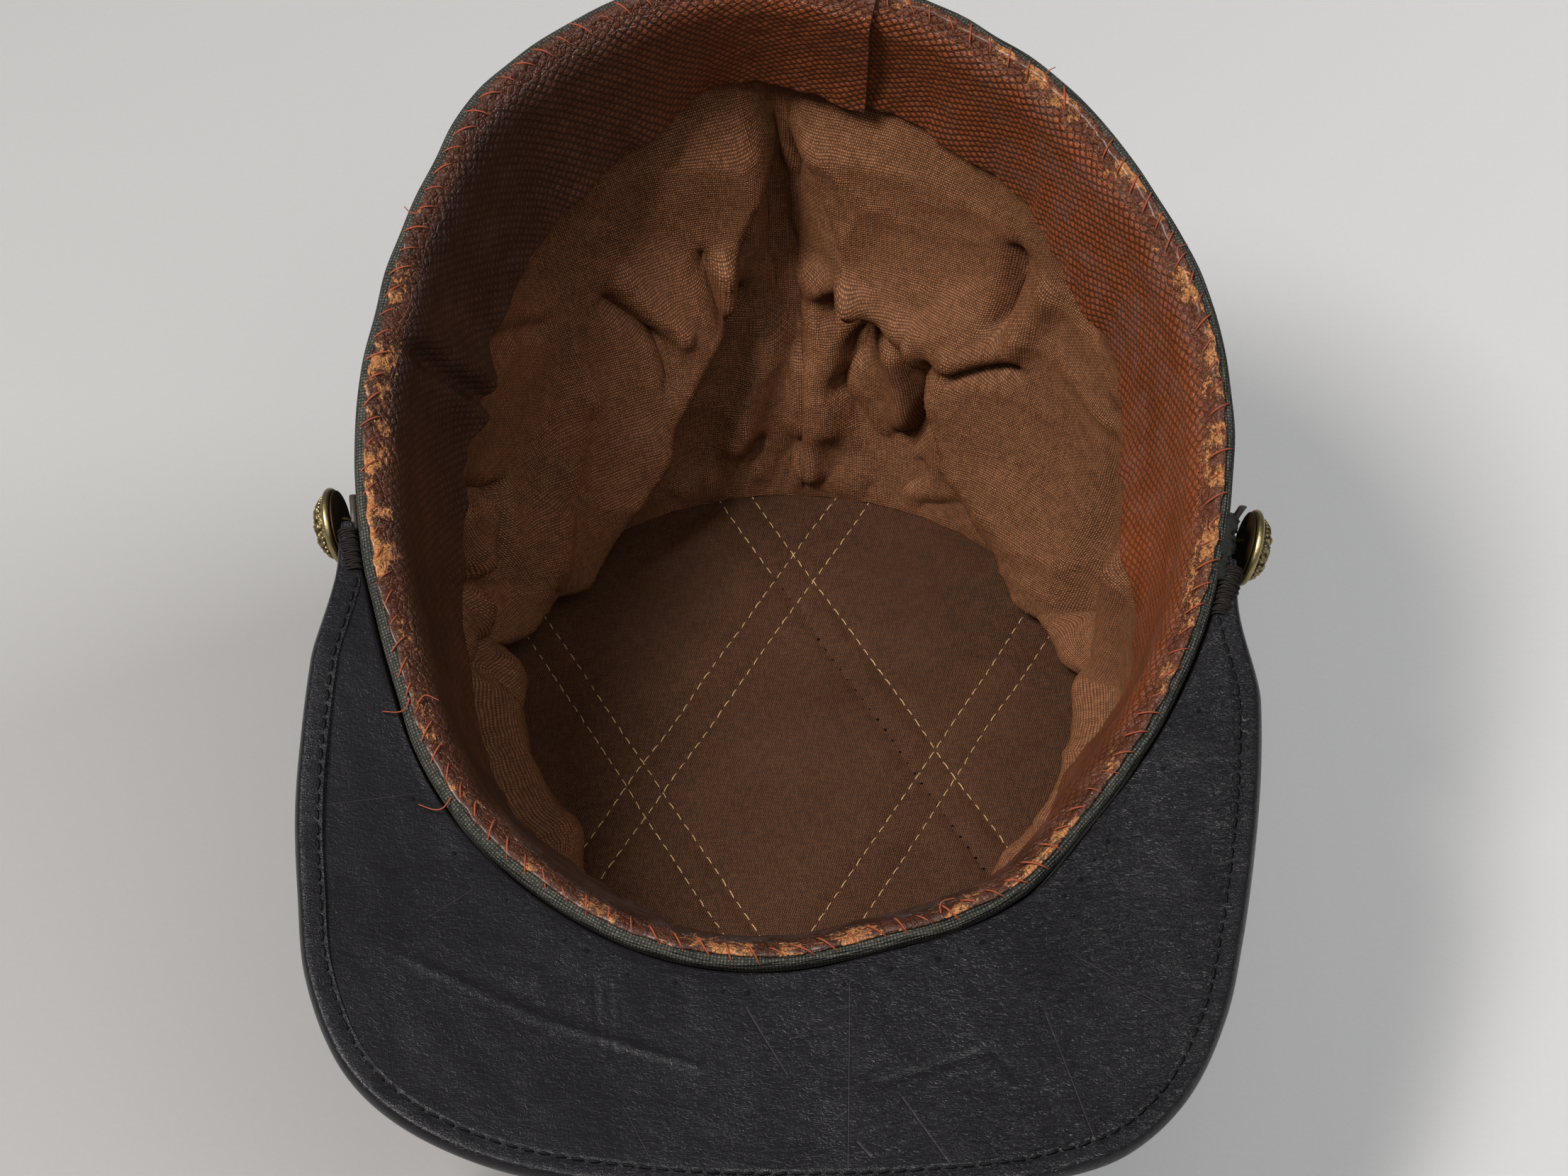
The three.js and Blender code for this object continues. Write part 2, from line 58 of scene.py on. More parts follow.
# Driving dimensions, the same as in the solid model
RIM_HALF_WIDTH = 84 * MM
RIM_FRONT = 106.2 * MM
RIM_BACK = 100.2 * MM
RIM_CENTRE = np.array([0.0, -28.2, 114.7]) * MM
BASE_SLANT = math.radians(22.46)
BAND_HEIGHT = 38 * MM
BAND_TAPER = 6.5 * MM
TIP_RADIUS = 69.5 * MM
TIP_THICKNESS = 3 * MM
WALL_FOOT_RADIUS = 70.5 * MM
WALL_FOOT_Z = 3.3 * MM
SWELL_BACK = 0.15
SWELL_FRONT = 0.6
SWELL_HANDLE = 0.33
CROWN_LINING_RADIUS = 66.4 * MM
CROWN_LINING_BOTTOM = 3.3 * MM
CROWN_LINING_TOP = 5.1 * MM

# Layers of the side, counted inwards from the outside of the band
WALL_OUTER = 2.0 * MM
WALL_INNER = 3.6 * MM
LINING_OUTER = 3.9 * MM
LINING_INNER = 4.9 * MM
LINING_SLACK = 3.5 * MM
LINING_LEAST = 1.2 * MM
LINING_START = -0.4
SEAM_TOP = 0.12
SEAM_FOOT = 0.06
SEAM_LIFT = 2.1 * MM
SEAM_LIFT_FROM = 0.8
SWEAT_OUTER = 3.9 * MM
SWEAT_THICK = 1.4 * MM
SWEAT_RISE = 0.6 * MM
SWEAT_CLEAR = 1.4 * MM
SWEAT_CLEAR_DEPTH = 6 * MM
SWEAT_CURL = 1.3

# The top edge of the sweatband curls out over the wool
LIP_DEPTH = 2 * MM
LIP_RISE = 0.6 * MM
LIP_REACH = 1.9 * MM

# The whip stitches lie on that edge
RIM_STITCH_HEIGHT = 0.75 * MM
RIM_STITCH_INSET = 3.0 * MM

# The visor, its binding, and its two ends, which are bound to the rim
VISOR_THICK = 2.4 * MM
VISOR_SEAT = 0.4 * MM
VISOR_ROOT = -1.6 * MM
VISOR_DROOP = math.radians(11)
VISOR_LEAST_REACH = 0.004
HORN_LEFT = -80.0
HORN_RIGHT = 76.0
HORN_NECK = 0.5
HORN_NECK_FROM = 3.0
HORN_NECK_LENGTH = 10.0
HORN_CORE_RADIUS = 1.55 * MM
HORN_TURN_RADIUS = 1.85 * MM
HORN_WIRE = 0.22 * MM
HORN_PITCH = 0.46 * MM
HORN_WRAPS = ((HORN_LEFT + 5.4, HORN_LEFT + 1.0), (HORN_RIGHT - 6.2, HORN_RIGHT - 1.0))
TORN_WOOL_FROM = 73.5
TORN_WOOL_TO = 81.0
TORN_WOOL_RADIUS = 1.5 * MM
BINDING_WRAP = 3.8 * MM
BINDING_THICK = 0.7 * MM
BINDING_GAP = 0.3 * MM
BINDING_NOSE = 0.8 * MM
BINDING_CLEAR_BAND = 0.6 * MM
STITCH_LINE = 2.9 * MM
BINDING_GROOVE = 0.7 * MM
BINDING_CRIMP = 0.14 * MM
NEEDLE_HOLE = 0.55 * MM
NEEDLE_HOLE_LINE = 4.6 * MM
NEEDLE_HOLE_PITCH = 4.4 * MM

# The chin strap, whose ends stand past the buttons
STRAP_MIDDLE = -9 * MM
STRAP_WIDTH = 11 * MM
STRAP_THICK = 1.3 * MM
STRAP_GAP = 0.4 * MM
STRAP_NARROWING = 0.25
TAB_LENGTH = 3.2 * MM
TAB_LENGTH_RIGHT = 4.6 * MM
TAB_LIFT_LEFT = 0.4 * MM
TAB_LIFT_RIGHT = 2.4 * MM
TAB_ROUND_FROM = 0.55

# The buttons: a domed face with a rolled rim, a back plate and a loop of wire
BUTTON_RADIUS = 7.5 * MM
BUTTON_DOME = 4.6 * MM
BUTTON_LIP = 1.1 * MM
BUTTON_FLAT = 0.75 * MM
BUTTON_PLATE = 0.7 * MM
ROLL_RADIUS = 0.75 * MM
DOME_RADIUS = 6.0 * MM
DOME_FOOT = 1.5 * MM
DOME_AXIS_HOLE = 0.02 * MM
RELIEF_DEPTH = 0.55 * MM
BORDER_RISE = 0.34
BORDER_BEAD = 0.38 * MM
BORDER_PITCH = 1.05 * MM
DOME_RELIEF = [
    # times round, twist, place on the dome and width in radians, lowest value, share
    (8, 5, 1.1, 0.2, -0.4, 0.4),
    (18, 0, 0.62, 0.13, -1, 0.34),
    (60, 9, 0.14, 0.07, -1, 0.26),
]
DOME_CAST = [
    # lumps round the dome, lumps up the dome, seed, share
    (60, 11, 61, 0.34),
    (120, 20, 71, 0.2),
]
BUTTON_STAND = 2.8 * MM
BUTTON_TILT = math.radians(14)
BUTTON_AZIMUTH = {"left": -81.8, "right": 79.7}
SHANK_WIRE = 0.35 * MM
SHANK_LOOP = 1.6 * MM
SHANK_ROOT = 0.6 * MM
SHANK_CLEAR = 0.3 * MM

# The outline of the base, as a share of the plain oval, by azimuth from the front.
# Plus is the right side.
RIM_SHAPE = [
    # azimuth, share
    (-180, 1.0), (-150, 1.019), (-135, 1.03), (-122, 1.003), (-104, 0.984), (-95, 0.989),
    (-80, 0.989), (-66, 0.997), (-49, 1.034), (-30, 1.03), (-15, 1.022), (0, 1.005),
    (12, 0.991), (31, 1.012), (43, 0.993), (55, 0.997), (70, 1.004), (100, 1.013),
    (124, 0.987), (140, 0.985), (152, 0.98), (180, 1.0),
]

# The band's thickness, in section round its folded hem
BAND_SECTION = [
    # inset in mm, height over the rim in mm
    (3.65, -1.8), (3.6, -3.0), (2.8, -3.1), (1.9, -3.15), (1.7, -3.5), (1.7, -12), (1.7, -20),
    (1.7, -29), (1.7, -37.8), (1.2, -38.3), (0.6, -38.3), (0.1, -37.8), (0, -37), (0, -30),
    (0, -23), (0, -16), (0, -9), (0, -4.5), (0.0, -2.2), (0.12, -1.0), (0.5, -0.1), (1.1, 0.4),
    (1.9, 0.6), (2.7, 0.4), (3.3, -0.2), (3.6, -1.0),
]

# The outer edge of the visor, as a share of the plain oval of the base
VISOR_SHAPE = [
    # azimuth, share
    (-81, 1.028), (-78, 1.06), (-74, 1.09), (-69, 1.13), (-62, 1.213), (-56, 1.299),
    (-50, 1.386), (-45, 1.468), (-39, 1.531), (-34, 1.544), (-27, 1.522), (-13, 1.452),
    (0, 1.427), (11, 1.448), (22, 1.503), (28, 1.529), (34, 1.512), (40, 1.45),
    (45, 1.377), (51, 1.297), (58, 1.218), (65, 1.147), (69, 1.11), (73, 1.072), (77, 1.03),
]

# How far the free edge of the sweatband stands off the side, and how deep it reaches
SWEAT_SHAPE = [
    # azimuth, stand-off in mm, depth in mm
    (-180, 0.2, 35.5), (-174, 0.2, 34), (-167, 0.3, 37), (-157, 5.2, 38), (-145, 8.2, 38),
    (-132, 8.6, 38), (-118, 7.0, 38), (-110, 7.4, 38.5), (-104, 10.2, 39.5), (-100, 8.2, 38),
    (-91, 7.6, 38), (-82, 6.4, 38), (-74, 4.8, 38), (-65, 2.2, 38), (-55, 2.2, 38),
    (-42, 4.0, 38), (-20, 4.6, 38), (0, 4.0, 38), (31, 2.0, 38), (42, 0.3, 38),
    (53, 3.0, 38), (64, 0.2, 38), (75, 2.6, 38), (85, 7.2, 38), (95, 8.6, 38),
    (105, 6.2, 38), (114, 4.4, 37.5), (120, 5.4, 38), (131, 3.8, 38), (141, 0.9, 38.5),
    (158, 0.3, 38), (168, 0.3, 37.5), (180, 0.2, 35.5),
]
SWEAT_HIDDEN_END = 173.0
SWEAT_SEEN_END = 167.0
SWEAT_RAMP_START = 184.0
SWEAT_STEP = 1.9 * MM
PUCKER_AZIMUTH = -101.5
PUCKER_DRIFT = 4.5

# Folds of the side lining. Azimuth is in degrees, level runs from 0 at the top of the
# band to 1 at the crown tip, and the two widths lie left and right of the fold's way.
LINING_FOLDS = [
    # azimuth, level, to azimuth, to level, push in mm, width on the left, width on the right
    (-172, 0.20, -160.5, 0.47, 10, 6, 26),
    (-160.5, 0.47, -146, 0.66, 14, 5, 26),
    (-146, 0.66, -122, 0.81, 16, 7, 20),
    (-122, 0.81, -106, 0.86, 12, 8, 12),
    (-100, 0.72, -94, 0.90, 9, 6, 8),
    (-92, 0.88, -52, 0.90, 14, 16, 8),
    (172, 0.16, 163, 0.42, 8, 30, 8),
    (163, 0.42, 150, 0.50, 9, 22, 6),
    (150, 0.50, 140, 0.70, 11, 22, 5),
    (140, 0.70, 118, 0.88, 11, 20, 7),
    (118, 0.88, 102, 0.93, 9, 10, 7),
    (98, 0.56, 94, 0.90, 6, 7, 7),
    (92, 0.93, 48, 0.92, 8, 8, 12),
    (176, 0.58, 176, 0.92, 3, 6, 6),
    (-178, -0.10, 180, 0.55, -6, 4, 5),
    (110, 0.30, 106, 0.84, -5, 6, 6),
]
FOLD_STEEPNESS = 0.6
FOLD_STEEP_FROM = 4.5
FOLD_STEEP_TO = 8
LEAN_LEAST_PUSH = 8
LEAN_LEAST_WIDTH = 16
LEAN_FULL_PUSH = 14 * MM
LEAN_REACH = 5.0
MM_PER_DEGREE = 1.15
MM_PER_LEVEL = 88.0

# Small creases of the side lining, too fine for the solid model, and its crumple
CREASE_GAIN = 1.35
LINING_CRUMPLE = [
    # height in mm, cells round the cap, seed
    (0.8, 22, 7),
    (0.3, 54, 21),
]
PUCKERS_FROM = 122
PUCKERS_IN_FRONT = 0.15
LINING_CREASES = [
    # azimuth, level, to azimuth, to level, push in mm, width on the left, width on the right
    (-175, 0.06, -178, 0.28, -4.5, 2.2, 3.0),
    (-178, 0.28, -179, 0.44, -4.5, 2.5, 3.0),
    (-179, 0.44, 178, 0.63, -3.0, 2.5, 2.5),
    (-179.5, 0.10, 179.6, 0.40, 1.2, 3.0, 6.0),
    (179.0, 0.40, 176.8, 0.60, -1.0, 0.8, 0.8),
    (176.8, 0.60, 177.0, 0.97, -1.0, 0.8, 0.8),
    (-176.0, 0.62, -170, 0.84, 2.2, 7.0, 7.0),
    (171.5, 0.58, 172.5, 0.80, 2.0, 4.0, 5.0),
    (-165.2, 0.34, -168.6, 0.47, 3.5, 2.6, 2.6),
    (-161.5, 0.33, -163, 0.43, -2.5, 2.2, 2.2),
    (-170, 0.52, -157, 0.62, -3.0, 2.6, 3.5),
    (-157, 0.62, -141, 0.82, -3.0, 3.0, 3.5),
    (-172, 0.30, -171, 0.40, -2.0, 1.8, 1.8),
    (177, 0.50, 166.5, 0.41, 2.6, 2.2, 5.0),
    (166.5, 0.41, 152, 0.44, 2.2, 2.2, 5.0),
    (172, 0.56, 163, 0.51, -2.0, 2.4, 2.4),
    (159.5, 0.47, 167, 0.62, -3.0, 2.0, 3.0),
    (167, 0.62, 170.5, 0.71, -2.2, 2.0, 2.4),
    (170.5, 0.71, 161.2, 0.88, -1.8, 2.0, 2.4),
    (158, 0.56, 157, 0.76, 3.0, 4.5, 4.5),
    (147.8, 0.50, 151.2, 0.68, -3.5, 2.4, 2.4),
    (151.2, 0.68, 161.2, 0.88, -3.5, 2.4, 2.4),
    (161.2, 0.88, 159.2, 0.97, -2.5, 2.0, 2.0),
    (148, 0.72, 138, 0.86, -2.6, 2.4, 3.0),
    (142.8, 0.49, 133, 0.42, -2.4, 1.5, 1.8),
    (142.8, 0.45, 134, 0.385, 1.4, 1.8, 2.6),
    (137.5, 0.18, 137, 0.35, -4.0, 1.8, 2.4),
    (130.6, 0.20, 133, 0.35, 2.4, 2.4, 2.4),
    (128, 0.10, 122, 0.16, -2.0, 2.2, 2.6),
    (-174, 0.86, -170, 0.97, -1.8, 1.8, 2.6),
    (178, 0.86, -178.8, 0.97, -1.8, 1.8, 2.6),
    (163, 0.97, 154.5, 0.87, -3.0, 1.8, 2.2),
    (152, 0.97, 143, 0.93, -2.2, 1.8, 2.0),
    (140, 0.95, 126.5, 0.84, -2.0, 2.0, 2.2),
    (-144, 0.35, -150.2, 0.44, -2.6, 1.8, 2.2),
    (-150.2, 0.44, -150.5, 0.52, -2.2, 1.8, 1.8),
    (-147, 0.31, -154, 0.42, 1.8, 2.2, 2.6),
    (-122, 0.24, -131, 0.33, -1.5, 1.8, 2.2),
    (-134, 0.50, -126, 0.60, 1.4, 2.4, 3.4),
    (-112, 0.56, -104, 0.62, 1.6, 3.0, 5.0),
    (-101, 0.62, -97, 0.80, -3.5, 1.6, 2.0),
    (-97, 0.80, -87, 0.90, -3.0, 1.6, 2.0),
    (-107, 0.44, -113.5, 0.55, -3.0, 1.6, 1.8),
    (-113.5, 0.55, -107, 0.68, -3.5, 2.0, 1.8),
    (-106, 0.50, -104, 0.62, 2.0, 2.2, 2.2),
    (-120, 0.66, -112, 0.78, 2.0, 2.5, 4.0),
    (-76, 0.62, -72, 0.80, 1.6, 3.0, 4.0),
    (60, 0.70, 54, 0.90, -1.6, 3.0, 5.0),
]

# The look of the sweatband's leather by azimuth: from dark to orange, how crisp the
# embossing still is, how far the edge is worn to bare tan, how grey its bloom is, and
# how wide the top edge rolls over before it turns down
# The tone is partly the leather's own colour and partly painted light: it is raised at the back and the
# right, where the light falls.
SWEAT_LOOK = [
    # azimuth, tone, embossing, wear, bloom, roll of the top edge in mm
    (-180, 1.1, 0.9, 0.35, 0.05, 1.0), (-160, 0.5, 1.0, 0.35, 0.05, 1.0), (-140, 0.26, 1.0, 0.3, 0.1, 1.2),
    (-120, 0.14, 1.0, 0.4, 0.15, 1.6), (-104, 0.16, 0.9, 0.8, 0.1, 2.2), (-92, 0.22, 0.9, 0.9, 0.0, 2.6),
    (-80, 0.22, 0.8, 1.0, 0.0, 2.6), (-60, 0.2, 0.5, 0.6, 0.0, 2.0), (-35, 0.05, 0.1, 0.7, 0.4, 0.8),
    (0, 0.05, 0.0, 0.9, 0.5, 0.3), (35, 0.25, 0.5, 0.8, 0.3, 0.3), (55, 0.6, 0.7, 0.7, 0.2, 0.8),
    (78, 0.66, 0.6, 0.85, 0.2, 1.4), (100, 0.72, 0.8, 0.85, 0.35, 1.6), (120, 0.82, 0.9, 0.9, 0.5, 1.4),
    (140, 1.2, 1.0, 0.85, 0.35, 1.2), (160, 1.4, 1.0, 0.7, 0.15, 1.0), (180, 1.3, 0.95, 0.45, 0.1, 1.0),
]

# Loose ends of the thread over the rim
LOOSE_ENDS = [
    # azimuth, inset in mm, height in mm, way in degrees, length in mm
    (-59, 2.4, 0.9, 215, 5.5), (-58, 3.4, 1.1, 20, 4.0), (-47, 1.4, 0.9, 200, 6.0),
    (-118, 3.0, 0.9, 170, 3.5), (20, 3.0, 1.0, 60, 4.0), (78, 2.6, 1.0, 120, 3.5),
    (112, 3.2, 1.0, 60, 3.0), (140, 3.2, 1.0, 80, 4.0),
]

# The quilting of the crown: two families of lines that lean to each side of front-to-back
QUILT_LEAN = math.radians(27.3)
QUILT_VALLEY = 1.6 * MM
CROWN_WAVE = 14 * MM
CROWN_FLAT_EDGE = 7 * MM
CROWN_HOLE = 0.42 * MM
QUILT_LINES = [
    # family, distance from the middle of the crown in mm, share of the line with thread
    (1, 15.5, 0.19), (1, 22.5, 1.0), (1, -33.4, 1.0), (1, -39.6, 1.0),
    (-1, -20.3, 1.0), (-1, -13.0, 1.0), (-1, 31.8, 1.0), (-1, 39.1, 1.0),
]

# Creases and scratches of the visor, in its own plane from the middle of the base
VISOR_CREASES = [
    # across in mm, forward, to across, to forward, height in mm, width in mm
    (-72, 105, -40, 119.5, 0.24, 1.1), (-50, 116, -15, 126.5, 0.26, 1.0), (-66, 107, -20, 123.4, -0.12, 2.4),
    (14.8, 130.2, 36.8, 123.3, -0.3, 0.8), (35.0, 122.5, 41.5, 129.5, -0.15, 1.0),
    (6.7, 122.0, -7.2, 136.3, -0.22, 0.9), (-35.6, 108.0, -34.2, 123.0, -0.22, 0.6),
    (-32.8, 110.0, -31.8, 125.0, -0.2, 0.6), (-30.4, 112.0, -29.6, 122.0, -0.12, 0.5),
]
VISOR_SCRATCHES = [
    # across in mm, forward, to across, to forward, width in mm
    (10.9, 109.8, 10.3, 150.0, 0.28), (20.2, 132.6, 32.5, 151.7, 0.45),
    (46.1, 116.3, 55.7, 145.9, 0.3), (51.9, 105.2, 71.8, 118.9, 0.25),
    (-7.9, 114.6, -0.6, 127.6, 0.35), (-86.1, 76.6, -68.6, 73.1, 0.2),
    (-30.0, 134.0, -24.0, 146.0, 0.2), (62.0, 92.0, 80.0, 98.0, 0.2),
    (12.0, 141.0, 14.5, 144.0, 0.5), (-58.0, 92.0, -66.0, 98.0, 0.2),
]

# The photo's camera, which was fitted to the ovals of the rim and of the crown lining, the
# studio's light and the paper that the cap rests on
CAMERA_LENS = 112.4
CAMERA_PLACE = np.array([-1.0, -698.5, 761.5]) * MM
CAMERA_DOWN = 45.82
WORLD_COLOUR = (0.93, 0.95, 1.0, 1)
WORLD_STRENGTH = 0.14
PAPER_DARK = (0.262, 0.258, 0.256)
PAPER_LIGHT = (0.277, 0.273, 0.271)
LIGHTS = [
    # name, place, aim, size, power in watts, colour, what it lights
    ("key", (-0.62, -0.45, 1.28), (0.0, -0.02, 0.08), 0.36, 32.0, (1.0, 0.97, 0.93), "all"),
    ("top", (0.4, -0.72, 1.36), (0.0, -0.02, 0.05), 0.9, 6.5, (1.0, 0.99, 0.97), "all"),
    ("fill", (1.05, -0.7, 1.1), (0.0, -0.02, 0.08), 1.1, 2.5, (0.97, 0.99, 1.0), "all"),
    ("table_right", (1.1, 0.3, 0.8), (0.45, -0.05, 0.0), 0.7, 27.0, (0.97, 0.99, 1.0), "table"),
    ("table_front", (0.5, -0.9, 1.2), (0.25, -0.05, 0.0), 1.2, 3.0, (0.97, 0.99, 1.0), "table"),
]

THREAD_CORNERS = 6
UP = np.array([0.0, 0.0, 1.0])
FORWARD = np.array([0.0, -math.cos(BASE_SLANT), -math.sin(BASE_SLANT)])
OUTWARD = np.array([0.0, -math.sin(BASE_SLANT), math.cos(BASE_SLANT)])


# The shape of the cap


def clamp(values):
    """Values cut to the range from 0 to 1."""
    return np.clip(values, 0, 1)


def ease(part):
    """A smooth step from 0 to 1."""
    return part * part * (3 - 2 * part)


def bell(away, width):
    """1 at the middle of a bump, fading to both sides by its width."""
    return np.exp(-((away / width) ** 2))


def full_circle(count):
    """Angles of even steps round a circle, without the last, which is the first again."""
    return np.linspace(0, 2 * np.pi, count, endpoint=False)


def from_table(rows, azimuth, column=1):
    """Values from a table of (azimuth, value, ...) rows, on a smooth curve through the rows."""
    table = np.array(rows, float)
    at, value = table[:, 0], table[:, column]
    slope = np.gradient(value, at)
    slope[1:-1] = (value[2:] - value[:-2]) / (at[2:] - at[:-2])
    here = np.clip(azimuth, at[0], at[-1])
    after = np.clip(np.searchsorted(at, here), 1, len(at) - 1)
    before = after - 1
    run = at[after] - at[before]
    part = (here - at[before]) / run
    bend = part * (1 - part) * ((1 - part) * slope[before] - part * slope[after])
    return value[before] + (value[after] - value[before]) * ease(part) + run * bend


def wrapped(azimuth):
    """An azimuth in degrees brought between -180 and 180."""
    return (np.asarray(azimuth, float) + 180) % 360 - 180


def in_base(across, forward, height):
    """A point given in the frame of the base: across, forward to the visor, out of the mouth."""
    across, forward, height = np.broadcast_arrays(across, forward, height)
    place = RIM_CENTRE + forward[..., None] * FORWARD + height[..., None] * OUTWARD
    place[..., 0] += across
    return place


def rim_point(azimuth):
    """Across and forward of the outside of the rim."""
    angle = np.radians(azimuth)
    length = np.where(np.cos(angle) > 0, RIM_FRONT, RIM_BACK)
    share = from_table(RIM_SHAPE, wrapped(azimuth))
    return RIM_HALF_WIDTH * np.sin(angle) * share, length * np.cos(angle) * share


def rim_inward(azimuth):
    """The direction towards the head space, square to the rim, in the plane of the base."""
    step = 3
    ahead, behind = rim_point(azimuth + step), rim_point(azimuth - step)
    along = np.stack([ahead[0] - behind[0], ahead[1] - behind[1]], -1)
    along /= np.linalg.norm(along, axis=-1, keepdims=True)
    return along[..., 1], -along[..., 0]


def unit(vectors):
    return vectors / np.linalg.norm(vectors, axis=-1, keepdims=True)


def side_point(azimuth, level, inset):
    """A point of the side. Level runs from -1 at the rim through 0 at the top of the band to
    1 at the crown tip, and inset is the distance inwards from the outermost layer."""
    azimuth, level, inset = np.broadcast_arrays(azimuth, level, inset)
    angle = np.radians(azimuth)
    across, forward = rim_point(azimuth)
    in_across, in_forward = rim_inward(azimuth)
    inward = in_forward[..., None] * FORWARD
    inward[..., 0] += in_across
    band_share = clamp(level + 1)
    taper = np.abs(BAND_TAPER * np.cos(angle / 2)) * band_share
    on_band = in_base(across, forward, -BAND_HEIGHT * band_share) + inward * taper[..., None]

    flat = np.stack([np.sin(angle), -np.cos(angle), np.zeros_like(angle)], -1)
    foot = WALL_FOOT_RADIUS * flat + np.array([0, 0, WALL_FOOT_Z])
    swell = SWELL_BACK + SWELL_FRONT * (1 + np.cos(angle)) ** 2
    rise = unit(swell[..., None] * flat + UP)
    reach = SWELL_HANDLE * np.linalg.norm(foot - on_band, axis=-1, keepdims=True)
    part = clamp(level)[..., None]
    curve = (
        (1 - part) ** 3 * on_band
        + 3 * (1 - part) ** 2 * part * (on_band - OUTWARD * reach)
        + 3 * (1 - part) * part**2 * (foot + rise * reach)
        + part**3 * foot
    )
    offset = unit(inward * (1 - part) - flat * part)
    return curve + offset * inset[..., None]


def band_point(azimuth, height, inset):
    """A point of the band, by its height over the rim, which is negative below it."""
    height = np.asarray(height, float)
    level = np.clip(-1 - height / BAND_HEIGHT, -1, 0)
    spare = height + (level + 1) * BAND_HEIGHT
    return side_point(azimuth, level, inset) + spare[..., None] * OUTWARD


def fold_edge(width):
    """A fold's steep side is steeper in the cloth than in the solid model."""
    return width * FOLD_STEEPNESS if FOLD_STEEP_FROM <= width <= FOLD_STEEP_TO else width


def fold_push(fold, azimuth, level):
    """The push of one fold: full along its way, fading by its own width on each side."""
    start, low, end, high, push, left_width, right_width = fold
    way = np.array([wrapped(end - start) * MM_PER_DEGREE, (high - low) * MM_PER_LEVEL])
    length = np.hypot(*way)
    x = wrapped(azimuth - start) * MM_PER_DEGREE
    y = (level - low) * MM_PER_LEVEL
    part = clamp((x * way[0] + y * way[1]) / length**2)
    x, y = x - way[0] * part, y - way[1] * part
    distance = np.maximum(np.hypot(x, y), 1e-9)
    turned_left = (way[0] * y - way[1] * x) / (length * distance)
    left_width, right_width = fold_edge(left_width), fold_edge(right_width)
    width = (left_width * (1 + turned_left) + right_width * (1 - turned_left)) / 2
    return push * MM * bell(distance, width)


def lattice_noise(x, y, seed, wrap=0):
    """Smooth noise from -1 to 1 over a lattice of unit cells, which may repeat along x."""
    cells = max(64, wrap)
    corners = np.random.default_rng(seed).uniform(-1, 1, (cells, cells))
    across, along = np.floor(x).astype(int), np.floor(y).astype(int)
    x_ease, y_ease = ease(x - across), ease(y - along)

    def corner(right, up):
        column = (across + right) % (wrap or cells)
        return corners[column, (along + up) % cells]

    low = corner(0, 0) * (1 - x_ease) + corner(1, 0) * x_ease
    high = corner(0, 1) * (1 - x_ease) + corner(1, 1) * x_ease
    return low * (1 - y_ease) + high * y_ease


def noise_round(azimuth, degrees, row, seed, closes=True):
    """Noise round the cap whose lumps are some degrees across. It can close at the back."""
    return lattice_noise((azimuth + 180) / degrees, row, seed, round(360 / degrees) if closes else 0)


def crumple(azimuth, level, cells, seed):
    """Soft irregular creases of cloth, from -1 to 1, that close round the cap."""
    x = (wrapped(azimuth) + 180) / 360 * cells
    y = level * cells * MM_PER_LEVEL / (360 * MM_PER_DEGREE)
    bend = 0.35 * lattice_noise(x * 0.5, y * 0.5, seed + 1, cells // 2)
    return 1 - 2 * np.sqrt(np.abs(lattice_noise(x + bend, y + bend, seed, cells)))


def lining_inset(azimuth, level):
    """How far the side lining stands off its seat, with all its folds."""
    free = clamp(level / SEAM_TOP) * clamp((1 - level) / SEAM_FOOT)
    inwards, outwards = 0.0, 0.0
    for fold in LINING_FOLDS:
        push = fold_push(fold, azimuth, level)
        if fold[4] > 0:
            inwards = np.maximum(inwards, push)
        else:
            outwards = outwards + push
    slack = LINING_SLACK * np.sin(np.pi * clamp(level))
    large = np.maximum(slack + inwards + outwards, LINING_LEAST)
    small = CREASE_GAIN * sum(fold_push(crease, azimuth, level) for crease in LINING_CREASES)
    for height, cells, seed in LINING_CRUMPLE:
        small = small + height * MM * crumple(azimuth, level, cells, seed)
    gathers = np.where(np.abs(azimuth) > PUCKERS_FROM, 1, PUCKERS_IN_FRONT)
    small = small + lining_puckers(azimuth, level) * gathers
    small = small * clamp(level / SEAM_TOP)
    return np.maximum(free * large + free * small, 0)


def lining_lean(azimuth, level):
    """How far the big folds hang over on their steep side, as shifts of azimuth and level."""
    pushes, ways = [], []
    for fold in LINING_FOLDS:
        start, low, end, high, push, left_width, right_width = fold
        if push < LEAN_LEAST_PUSH or max(left_width, right_width) < LEAN_LEAST_WIDTH:
            continue
        way = np.array([wrapped(end - start) * MM_PER_DEGREE, (high - low) * MM_PER_LEVEL])
        normal = np.array([-way[1], way[0]]) / np.hypot(*way)
        ways.append(normal if left_width < right_width else -normal)
        pushes.append(fold_push(fold, azimuth, level))
    pushes = np.stack(pushes)
    largest = np.maximum(pushes.max(axis=0), 1e-6)
    share = (pushes / largest) ** 6
    share = share / share.sum(axis=0)
    x = sum(part * way[0] for part, way in zip(share, ways))
    y = sum(part * way[1] for part, way in zip(share, ways))
    held = clamp(level / SEAM_TOP) * clamp((1 - level) / (2 * SEAM_FOOT))
    reach = LEAN_REACH * (largest / LEAN_FULL_PUSH) ** 1.5 * held
    return x * reach / MM_PER_DEGREE, y * reach / MM_PER_LEVEL


